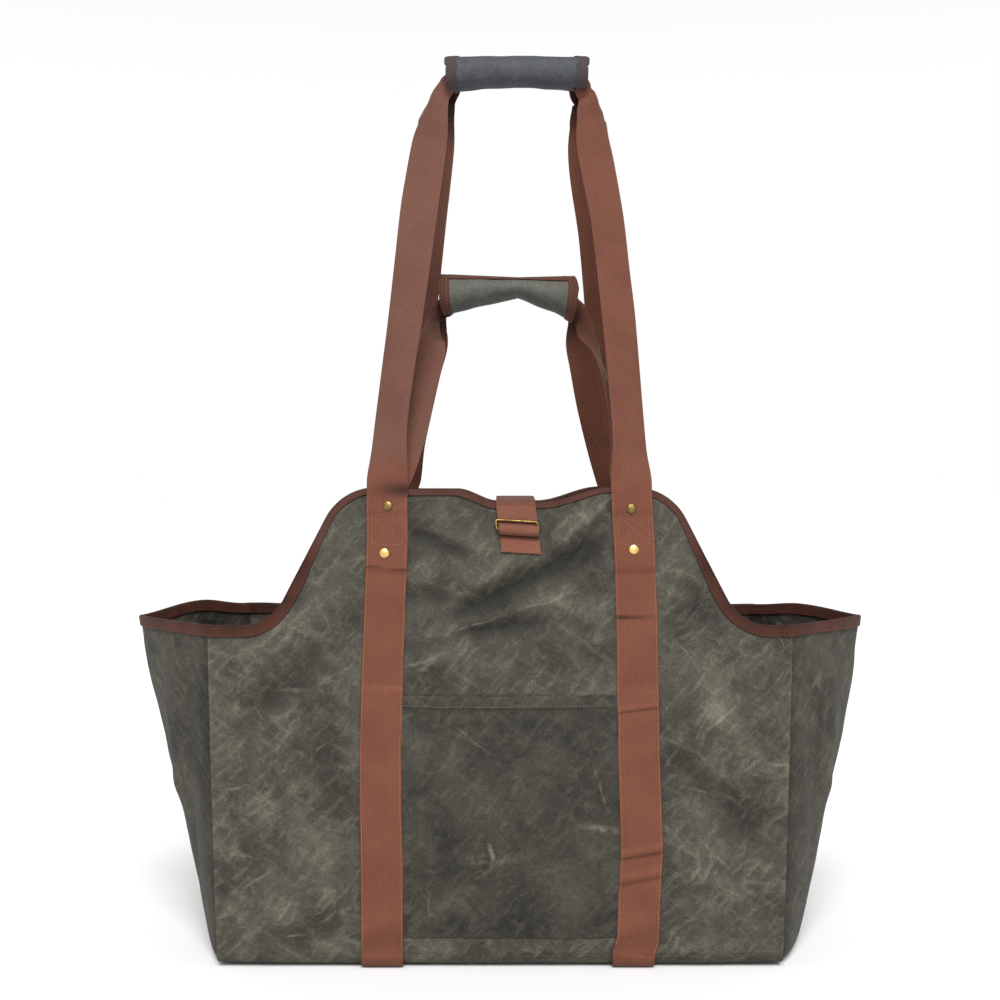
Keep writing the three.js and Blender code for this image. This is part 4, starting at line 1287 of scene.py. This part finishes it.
def strap_path(left_rise, inside, right_rise, runs):
    """Points, facings and folds along a strap from its left end to its right end."""
    (left, left_facing), (right, right_facing) = runs
    start = [*left[-1], *left_facing[-1], 0]
    end = [*right[-1], *right_facing[-1], 0]
    rows = [start, *left_rise, *inside, *right_rise[::-1], end]
    free = through(rows, 10 * len(rows))[1:-1]
    points = np.concatenate([left, free[:, :3], right[::-1]])
    facing = np.concatenate([left_facing, free[:, 3:6], right_facing[::-1]])
    fold = np.concatenate([np.zeros(len(left)), free[:, 6], np.zeros(len(right))])
    return points, facing, np.clip(fold, 0, 1)


def dents(points, face):
    """Puckers where the straps buckle on the front panel, and their painted light and shade: paler on the
    puckers, darker in the dents and below the puckers.
    """
    lifts = np.zeros((len(points), len(STRAP_ACROSS)))
    shades = np.zeros_like(lifts)
    if face > 0:
        return lifts, shades
    for side, rows in STRAP_DENTS.items():
        beside = np.abs(points[:, 0] - strap_x(side, points[:, 2])) < STRAP_WIDTH / 2
        on_panel = (beside & (points[:, 1] < -60))[:, None]
        for row in named(DENT_COLUMNS, rows):
            off = (points[:, 2, None] - row["height"] - row["tilt"] * STRAP_ACROSS[None]) / row["reach"]
            line = on_panel * np.exp(-off**2)
            half = np.clip(1 - abs(row["lean"]) + row["lean"] * STRAP_ACROSS[None] * 1.4, 0, 1)
            lifts += row["lift"] * line * (1 - 0.4 * STRAP_ACROSS[None] ** 2)
            shades += row["shade"] * line * (half if row["lean"] else 1)
    return lifts, shades


def ribbon(points, facing, fold, width, puckers):
    """Webbing on stations: the grid of its middle, its normals, and its flat coordinates."""
    ways = unit(np.gradient(points, axis=0))
    normals = unit(facing - ways * dot(facing, ways))
    side = np.cross(ways, normals)
    bend = (fold * FULL_FOLD)[:, None]
    across = STRAP_ACROSS[None] * width / 2
    back = (np.sqrt(STRAP_ACROSS**2 + 0.03)[None] - 0.56) * width / 2
    u = across * np.cos(bend)
    v = puckers - back * np.sin(bend)
    middle = points[:, None] + side[:, None] * u[..., None] + normals[:, None] * v[..., None]
    uv = flat_map(across, lengths(points)[:, None])
    return middle, grid_normals(middle), uv


def strap_piece(name, path, nodes, width=STRAP_WIDTH, puckers=0.0, tone=0.0, grey_tint=0.0, warp=None):
    middle, skin, uv = ribbon(*path, width, puckers)
    if warp:
        middle = warp(middle)
    thickness = WEBBING * (1 - 0.45 * smoothstep(np.abs(STRAP_ACROSS), 0.88, 1))
    thickness = np.broadcast_to(thickness[None], middle.shape[:2])
    marks = {"tone": np.broadcast_to(tone, middle.shape[:2]), "grey_tint": np.broadcast_to(grey_tint, middle.shape[:2])}
    piece = cloth(name, middle, skin, thickness, uv, "webbing", nodes, marks)
    return middle + skin * WEBBING / 2, skin


def free_looks(points, face, mouth, reach):
    """Tone and tint of a strap above the rim, painted light and shade: the back one is painted paler below
    the grip's mouth and dark with the shadow at it, the front one a little darker at the mouth, and a cool
    tint stands for the light on the free run.
    """
    z = points[:, 2, None]
    free = smoothstep(z, TOP_RIM + 6, TOP_RIM + 40)
    at_mouth = smoothstep(z, mouth - reach, mouth - 0.3 * reach)
    tone = free * (lerp(*BACK_STRAP_TONES, at_mouth) if face > 0 else FRONT_MOUTH_TONE * at_mouth)
    return tone, free * np.where(points[:, 0, None] < MIDDLE_X, STRAP_GREY_TINT["left"], STRAP_GREY_TINT["right"])


def long_strap(face, label):
    runs = []
    for side in STRAP_X:
        under, under_facing = base_run(side, face)
        up, up_facing = panel_run(side, face, PANEL_FOOT, lambda z: long_standoff(z, face))
        runs.append((np.concatenate([under, up]), np.concatenate([under_facing, up_facing])))
    left, right = (rise_rows(LONG_RISE[side], side, face, LONG_STEP[side]) for side in STRAP_X)
    path = strap_path(left, inside_rows(UPPER_INSIDE, face), right, runs)
    lifts, shades = dents(path[0], face)
    tone, grey_tint = free_looks(path[0], face, UPPER_INSIDE[0][1], MOUTH_REACH["upper"])
    return strap_piece(
        f"strap_long_{label}", path, [f"long_strap_{label}"], STRAP_WIDTH, lifts, shades + tone, grey_tint)


def short_strap(face, label):
    runs = [panel_run(side, face, TAIL_FOOT, short_standoff) for side in STRAP_X]
    left, right = (rise_rows(SHORT_RISE[label, side], side, face) for side in STRAP_X)
    path = strap_path(left, inside_rows(LOWER_INSIDE, face), right, runs)
    tone, grey_tint = free_looks(path[0], face, LOWER_INSIDE[0][1], MOUTH_REACH["lower"])
    # Painted shade inside the fold, on the inner half of the front straps.
    if face < 0:
        tone = tone + STRAP_FOLD_TONE * path[2][:, None] * smoothstep(STRAP_ACROSS, -0.1, 0.4)
    strap_piece(f"strap_short_{label}", path, [f"short_strap_{label}"], tone=tone, grey_tint=grey_tint)


# Grips

def grip_ring(grip, along, growth, turn):
    axis, half_height, half_depth_here = (
        np.interp(along, grip["along"], grip[size]) for size in ("axis", "half_height", "half_depth"))
    left, right = (np.interp(np.sin(turn), *grip[end]) for end in ("left_end", "right_end"))
    near_end = np.clip((np.abs(along) - END_SHAPE_FROM) / (1 - END_SHAPE_FROM), 0, 1)
    x = grip["centre"] + along * grip["half_length"] + near_end * np.where(along < 0, -left, right)
    y = (half_depth_here + growth) * np.cos(turn)
    z = axis + (half_height + growth) * np.sin(turn)
    return xyz(x, y, z)


def flap(grip, turn):
    """The wrap's outer layer ends low on the front."""
    end = grip["flap_end"]
    over = smoothstep(turn, *FLAP_START) * (1 - smoothstep(turn, end - FLAP_EDGE, end + FLAP_EDGE))
    return FLAP_STEP * (over - 1)


def sleeve(name, grip, alongs, inside, outside, material, nodes, wrinkle=0.0):
    alongs = np.asarray(alongs, float)[:, None]
    turn = full_turn(WRAP_SIDES)[None]
    slack = wrinkle * bumps(alongs * 60, turn * 11, 13, 61)
    outer = grip_ring(grip, alongs, outside + flap(grip, turn) + slack, turn)
    inner = grip_ring(grip, alongs, inside + 0 * turn, turn)
    rings = np.concatenate([outer, inner[::-1]])
    flat = flat_map(turn * WRAP_GIRTH + GRIP_SHIFT, outer[..., 0])
    # Painted light: the underside painted paler and the top darker, evening out the light from above.
    tone = GRIP_UNDER_TONE * smoothstep(-np.sin(turn), -0.1, 0.8)
    tone = tone + GRIP_TOP_TONE * smoothstep(np.sin(turn), 0.2, 0.9)
    marks = {"tone": np.broadcast_to(tone, rings.shape[:2])}
    return loft(name, rings, material, nodes, np.concatenate([flat, flat[::-1]]), marks)


def grip_pieces(grip, label, canvas):
    stop = 1 - END_TAPE_LENGTH / grip["half_length"]
    alongs = np.linspace(-1, 1, WRAP_STEPS + 1)
    wrap = f"grip_{label}_wrap"
    body = sleeve(wrap, grip, alongs, -WRAP_WALL, 0, canvas, [f"grip_{label}"], 0.5)
    for end, side in ((-1, "left"), (1, "right")):
        binding = f"grip_{label}_binding_{side}"
        alongs = np.linspace(end, end * stop, 9)
        sleeve(binding, grip, alongs, 0.1, 1.0, f"{label}_grip_tape", [f"grip_{label}_tape_{side}"])


def edge_tape():
    stop = 1 - (END_TAPE_LENGTH - 1) / LOWER_GRIP["half_length"]
    alongs = np.linspace(-stop, stop, 61)[:, None]
    turn = np.linspace(*EDGE_TAPE_TURNS, 15)[None]
    growth = flap(LOWER_GRIP, turn) + 0.8
    middle = grip_ring(LOWER_GRIP, alongs, growth, turn)
    normals = unit(grip_ring(LOWER_GRIP, alongs, growth + 1, turn) - middle)
    uv = flat_map(turn * WRAP_GIRTH, alongs * EDGE_TAPE_REACH)
    nodes = ["grip_lower_edge_tape"]
    piece = cloth("grip_lower_edge_binding", middle, normals, TAPE, uv, "lower_grip_tape", nodes)


# Closure

TAB_LOOP = BAR_RADIUS + GAP + WEBBING / 2
STRAP_LOOP = TAB_LOOP + WEBBING + GAP
LOOP_FOOT = LOW_BAR - STRAP_LOOP
FLAT_STANDOFF = (CANVAS + WEBBING) / 2 + GAP
TAPE_STANDOFF = FLAT_STANDOFF + TAPE + TAPE_GAP


def closure_path(places):
    points = through(places, 8 * len(places))
    ways = unit(np.gradient(points, axis=0))
    return points, np.cross(ways, np.array([1.0, 0, 0])), np.zeros(len(points))


def closure_places(rows, face):
    """Places on a panel from rows of height and standoff."""
    return [panel_place(CLOSURE_X, z, face, standoff)[0] for z, standoff in rows]


def round_bar(angle, radius):
    turn = math.radians(angle)
    return LOW_BAR + radius * math.sin(turn), BAR_STANDOFF + radius * math.cos(turn)


def skewed(points):
    """The closure lies aslant on the front, lower on its right."""
    x, y, z = (points[..., k] for k in range(3))
    front = smoothstep(-y, *SKEW_DEPTHS)
    drop = np.maximum(CLOSURE_TOP - z, 0) * front
    tilt = CLOSURE_TILT * (x - CLOSURE_X) * smoothstep(drop, 0, TILT_GROWTH)
    return xyz(x + CLOSURE_SHIFT + CLOSURE_SLANT * drop, y, z - tilt)


def closure_pieces():
    crown = CLOSURE_TOP + TAPE + 2 * TAPE_GAP + WEBBING / 2
    tape_foot = CLOSURE_TOP - TAPE_LEG["crown"]
    over_rim = [
        (tape_foot - 3, TAPE_STANDOFF - 0.3),
        (tape_foot + 2, TAPE_STANDOFF),
        (CLOSURE_TOP - 0.5, TAPE_STANDOFF + 0.2),
        (CLOSURE_TOP + 1.8, TAPE_STANDOFF - 1.2),
        (crown, TAPE_STANDOFF - 3.4),
    ]
    loop = [round_bar(angle, STRAP_LOOP) for angle in STRAP_LOOP_TURNS]
    behind_bar = (TOP_BAR - 1.5, BAR_STANDOFF - TAB_LOOP - GAP / 2)
    front = closure_places([*loop, behind_bar, *over_rim], -1)
    down_back = [tape_foot - RAMP, (tape_foot - RAMP + PATCH_FOOT) / 2, PATCH_FOOT]
    back = closure_places([*over_rim[::-1], *[(z, FLAT_STANDOFF) for z in down_back]], 1)
    mouth = [
        lerp(front[-1], back[0], share) + np.array([0, 0, MOUTH_RISE * math.sin(math.pi * share)])
        for share in MOUTH_SHARES
    ]
    path = closure_path([*front, *mouth, *back])
    # The bend over the rim is painted darker as shade with a cool tint, the loop's foot painted dark as its
    # shadow, and the rest painted paler than the straps, as light.
    bend = smoothstep(path[0][:, 2, None], CLOSURE_TOP - 3, CLOSURE_TOP + 1)
    loop_foot = (path[0][:, 1, None] < 0) * (1 - smoothstep(path[0][:, 2, None], LOOP_FOOT, LOOP_FOOT + 1.5))
    tone = CLOSURE_TONE + CLOSURE_BEND_TONE * bend + LOOP_TONE * loop_foot
    grey_tint = lerp(*CLOSURE_GREY_TINT, bend)
    strap_piece("closure_webbing", path, ["closure_strap"], CLOSURE_WIDTH, 0.0, tone, grey_tint, skewed)
    tab_loop = [round_bar(angle, TAB_LOOP) for angle in TAB_LOOP_TURNS]
    flat = [(PATCH_FOOT, FLAT_STANDOFF), (LOW_BAR - RAMP, FLAT_STANDOFF)]
    tab = closure_path(closure_places([*flat, *tab_loop], -1))
    # The tab is painted paler as light, and dark in the loop's painted shadow.
    tab_tone = CLOSURE_TONE + LOOP_TONE * smoothstep(tab[0][:, 2, None], LOOP_FOOT - 2.5, LOOP_FOOT)
    strap_piece("closure_tab", tab, ["buckle_tab"], CLOSURE_WIDTH, 0.0, tab_tone, TAB_GREY_TINT, skewed)


def buckle_piece():
    half_length = BAR_HALF_LENGTH - BAR_CORNER
    middle, half_height = (TOP_BAR + LOW_BAR) / 2, (TOP_BAR - LOW_BAR) / 2 - BAR_CORNER
    turn = full_turn(64)
    along = half_length * np.sign(np.cos(turn)) + BAR_CORNER * np.cos(turn)
    z = middle + half_height * np.sign(np.sin(turn)) + BAR_CORNER * np.sin(turn)
    points, normals = panel_place(CLOSURE_X, z, -1, BAR_STANDOFF)
    points[:, 0] = CLOSURE_X + BAR_SHIFT + along
    points = skewed(points)
    out = normals[0]
    ways = np.roll(points, -1, axis=0) - np.roll(points, 1, axis=0)
    side = unit(np.cross(ways, out))
    angle = full_turn(16)[None, :, None]
    rings = points[:, None] + BAR_RADIUS * (out * np.cos(angle) + side[:, None] * np.sin(angle))
    loft("buckle", rings, "aged_brass", ["slide_buckle"])


# Rivets

RIVET_PROFILE = [
    (0.05, -4.6), (2.7, -4.6), (2.9, -4.3), (2.9, -3.4), (2.0, -3.4), (2.0, -0.1), (4.3, -0.1), (4.5, 0.2),
    (4.45, 0.6), (4.2, 1.0), (3.4, 1.3), (2.3, 1.5), (1.2, 1.58), (0.05, 1.6),
]


def rivet_piece(name, node_name, point, normal, material):
    side = unit(np.cross(normal, np.array([1.0, 0.0, 0.3])))
    up = np.cross(side, normal)
    turn = full_turn(32)[None, :, None]
    profile = np.array(RIVET_PROFILE)
    radius, height = profile[:, 0, None, None], profile[:, 1, None, None]
    rings = point + normal * height + radius * (side * np.cos(turn) + up * np.sin(turn))
    loft(name, rings, material, [node_name])


def rivet_pieces(face, label):
    for side in STRAP_X:
        for level, z in RIVET_LEVELS.items():
            shift = RIVET_SHIFTS[side][level] if face < 0 else (0, 0)
            z = np.float64(z + shift[1])
            x = strap_x(side, z) + shift[0]
            seat = long_standoff(z, face) + WEBBING / 2
            point, normal = panel_place(x, z, face, seat)
            material = "bright_brass" if level == "lower" else "aged_brass"
            place = f"{label}_{side}_{level}"
            rivet_piece(f"cap_{place}", f"rivet_{place}", point, normal, material)


# Stitches: lumps of thread half sunk in the cloth, joined into one mesh for each colour

class Sewing:
    """Collects the stitches of one colour."""

    def __init__(self):
        self.points = []
        self.faces = []
        self.count = 0

    def row(self, line, normals, kind):
        pitch, length, radius = STITCHES[kind]
        run = lengths(line)
        middles = np.arange(pitch / 2, run[-1] - length / 2, pitch)
        if len(middles) == 0:
            return

        def at(values, places):
            return np.stack([np.interp(places, run, values[:, k]) for k in range(3)], axis=-1)

        centre = at(line, middles)
        way = unit(at(line, middles + length / 2) - at(line, middles - length / 2))
        normal = unit(at(normals, middles))
        side = np.cross(way, normal)
        share = np.linspace(-1, 1, STITCH_RINGS)
        girth = np.sqrt(1 - (STITCH_TAPER * share) ** 2)
        turn = full_turn(STITCH_SIDES)
        out = (girth[:, None] * np.cos(turn)[None]).ravel() * radius
        over = (girth[:, None] * np.sin(turn)[None]).ravel() * radius
        ahead = np.repeat(share, STITCH_SIDES) * length / 2
        points = (
            centre[:, None]
            + way[:, None] * ahead[None, :, None]
            + normal[:, None] * out[None, :, None]
            + side[:, None] * over[None, :, None]
        )
        each = STITCH_RINGS * STITCH_SIDES
        index = np.arange(each).reshape(STITCH_RINGS, STITCH_SIDES)
        sides = quads(np.pad(index, ((0, 0), (0, 1)), mode="wrap"))
        firsts = self.count + np.arange(len(middles)) * each
        self.faces += (sides[None] + firsts[:, None, None]).reshape(-1, 4).tolist()
        for first in firsts.tolist():
            self.faces.append([first + k for k in range(STITCH_SIDES)][::-1])
            self.faces.append([first + each - STITCH_SIDES + k for k in range(STITCH_SIDES)])
        self.points.append(points.reshape(-1, 3))
        self.count += points.shape[0] * each

    def finish(self, name, material):
        points = np.concatenate(self.points)
        make_piece(name, points, self.faces, points[:, :2], material, sharp=80)


def panel_stations(surface, low, high):
    """Which stations of a strap lie between two heights, on its left run and on its right one."""
    x, height = surface[:, MIDDLE_COLUMN, 0], surface[:, MIDDLE_COLUMN, 2]
    inside = (height > low) & (height < high)
    return inside & (x < 0), inside & (x >= 0)


def sew_strap(sewing, surface, skin):
    """Rows along both edges of a long strap where it lies on the panel."""
    for run in panel_stations(surface, PANEL_FOOT + 4, TOP_RIM - 4):
        for column in EDGE_COLUMNS:
            sewing.row(surface[run, column], skin[run, column], "strap_edge")


def sew_line(sewing, start, end, place):
    """A row of stitches between two places, found by a function of across and up."""
    steps = np.linspace(0, 1, 40)
    points, normals = place(lerp(start[0], end[0], steps), lerp(start[1], end[1], steps))
    sewing.row(points, normals, "crossed_box")


def sew_crossed_box(sewing, half_width, foot, top, place, middle=0.0):
    left, right = middle - half_width, middle + half_width
    corners = [(left, foot), (right, foot), (right, top), (left, top)]
    for k in range(4):
        sew_line(sewing, corners[k], corners[(k + 1) % 4], place)
    sew_line(sewing, corners[0], corners[2], place)
    sew_line(sewing, corners[1], corners[3], place)


def on_strap(grid, across, z, heights):
    """Values of a strap's grid at places across it and up the panel."""
    order = np.argsort(heights)
    rows = np.array([
        [np.interp(z, heights[order], grid[order, column, k]) for k in range(3)]
        for column in range(len(STRAP_ACROSS))
    ])
    return np.array([
        [np.interp(share, STRAP_ACROSS, rows[:, k, i]) for k in range(3)]
        for i, share in enumerate(across * 2 / STRAP_WIDTH)
    ])


def sew_strap_boxes(sewing, surface, skin):
    """Boxes with crosses between the rivets of each strap."""
    for run in panel_stations(surface, PANEL_FOOT, TOP_RIM):
        heights = surface[run, MIDDLE_COLUMN, 2]

        def place(across, z):
            return tuple(on_strap(grid[run], across, z, heights) for grid in (surface, skin))

        sew_crossed_box(sewing, **STRAP_BOX, place=place)


def sew_patch(sewing, face, top):
    """A box with a cross where the closure's webbing is sewn to a panel."""
    def place(x, z):
        points, normals = panel_place(x, z, face, np.full(len(z), FLAT_STANDOFF + WEBBING / 2))
        return skewed(points), normals

    sew_crossed_box(sewing, PATCH_BOX_HALF, PATCH_FOOT + 2, top, place, CLOSURE_X)


def sew_hem(sewing):
    x = np.linspace(STRAP_X["left"][0] + HEM_INSET, STRAP_X["right"][0] - HEM_INSET, 200)
    z = pocket_top(x) - HEM_DEPTH + HEM_ROW
    points, normals = panel_place(x, z, -1, pocket_standoff(x, z) + POCKET_CANVAS / 2)
    sewing.row(points, normals, "hem")


def sew_grip(sewing, grip):
    turn = np.linspace(0, 2 * math.pi, 121)
    for end in (-1, 1):
        at = end * (1 - 0.72 * END_TAPE_LENGTH / grip["half_length"])
        ring = grip_ring(grip, np.float64(at), 1.05 + flap(grip, turn), turn)
        middle = grip_ring(grip, np.float64(at), -5.0 + 0 * turn, turn)
        sewing.row(ring, unit(ring - middle), "grip")


def sew_seam(sewing):
    """A few pale stitches that show at the top of the left seam."""
    z = np.linspace(*SEAM_ROW, 24)
    points, normals = panel_place(1.5 - seam_x(z), z, -1, CANVAS / 2 + 0 * z)
    sewing.row(points, normals, "seam")


def loose_thread(sewing):
    """A short end of thread that hangs from the rim beside the right seam."""
    share = np.linspace(0, 1, 24)
    (x0, z0), (x1, z1) = LOOSE_END
    x = lerp(x0, x1, share) + 1.5 * np.sin(share * 5)
    z = lerp(z0, z1, share**1.6)
    points, normals = panel_place(x, z, -1, CANVAS / 2 + 0.5 + 0 * x)
    sewing.row(points, normals, "loose_end")


def build():
    strap_sewing, grip_sewing, tape_sewing, pale_sewing = (Sewing() for _ in range(4))
    for face, label in ((-1, "front"), (1, "back")):
        panel_piece(face, label)
        tape_sewing.row(*panel_tape(face, label), "rim")
        strap = long_strap(face, label)
        sew_strap(strap_sewing, *strap)
        sew_strap_boxes(strap_sewing, *strap)
        short_strap(face, label)
        rivet_pieces(face, label)
    for side, label in ((-1, "left"), (1, "right")):
        end_piece(side, label)
        tape_sewing.row(*end_tape(side, label), "rim")
    base_piece()
    pocket_piece()
    grip_pieces(UPPER_GRIP, "upper", "grip_canvas")
    grip_pieces(LOWER_GRIP, "lower", "lower_grip_canvas")
    edge_tape()
    closure_pieces()
    buckle_piece()
    sew_patch(strap_sewing, -1, LOW_BAR - RAMP - 1)
    sew_patch(strap_sewing, 1, PATCH_FOOT + 18)
    sew_hem(pale_sewing)
    sew_seam(pale_sewing)
    loose_thread(pale_sewing)
    sew_grip(tape_sewing, UPPER_GRIP)
    sew_grip(grip_sewing, LOWER_GRIP)
    strap_sewing.finish("stitches_straps", "strap_thread")
    grip_sewing.finish("stitches_grip", "grip_thread")
    tape_sewing.finish("stitches_tape", "tape_thread")
    pale_sewing.finish("stitches_pocket", "pale_thread")


# Floor, light and camera

def add_floor():
    corners = [(x * FLOOR_HALF, y * FLOOR_HALF, 0) for x, y in ((-1, -1), (1, -1), (1, 1), (-1, 1))]
    mesh = bpy.data.meshes.new("floor")
    mesh.from_pydata(corners, [], [(0, 1, 2, 3)])
    material, tree, shader = new_material("pale_floor")
    fill(tree, shader, {"Base Color": FLOOR_COLOUR, "Roughness": 0.9})
    mesh.materials.append(material)
    add_object("floor", mesh)


def add_sun():
    data = bpy.data.lights.new("key", "SUN")
    data.angle = math.radians(SUN_SOFTNESS)
    data.energy = SUN_STRENGTH
    lamp = add_object("key", data)
    lamp.rotation_mode = "QUATERNION"
    lamp.rotation_quaternion = Vector(SUN_TOWARDS).to_track_quat("-Z", "Y")


def add_world():
    """A white horizon under a dimmer ceiling."""
    world = bpy.data.worlds.new("studio")
    world.use_nodes = True
    tree = world.node_tree
    place = node(tree, "ShaderNodeTexCoord").outputs["Generated"]
    height = node(tree, "ShaderNodeSeparateXYZ", {0: place}).outputs[2]
    strength = ranged(tree, height, *SKY_HEIGHTS, *SKY_STRENGTHS)
    fill(tree, tree.nodes["Background"], {"Color": (1, 1, 1, 1), "Strength": strength})
    bpy.context.scene.world = world


def add_camera():
    data = bpy.data.cameras.new("camera")
    data.lens = LENS
    data.sensor_width = SENSOR
    camera = add_object("camera", data)
    camera.location = CAMERA_PLACE
    camera.rotation_euler = (math.radians(90 - CAMERA_DIP), 0, 0)
    bpy.context.scene.camera = camera


add_materials(canvas_material, CANVASES)
add_materials(webbing_material, WEBBINGS)
add_materials(brass_material, BRASSES)
add_materials(thread_material, THREADS)
build()
add_floor()
add_world()
add_sun()
add_camera()
bpy.context.scene.view_settings.view_transform = "Standard"
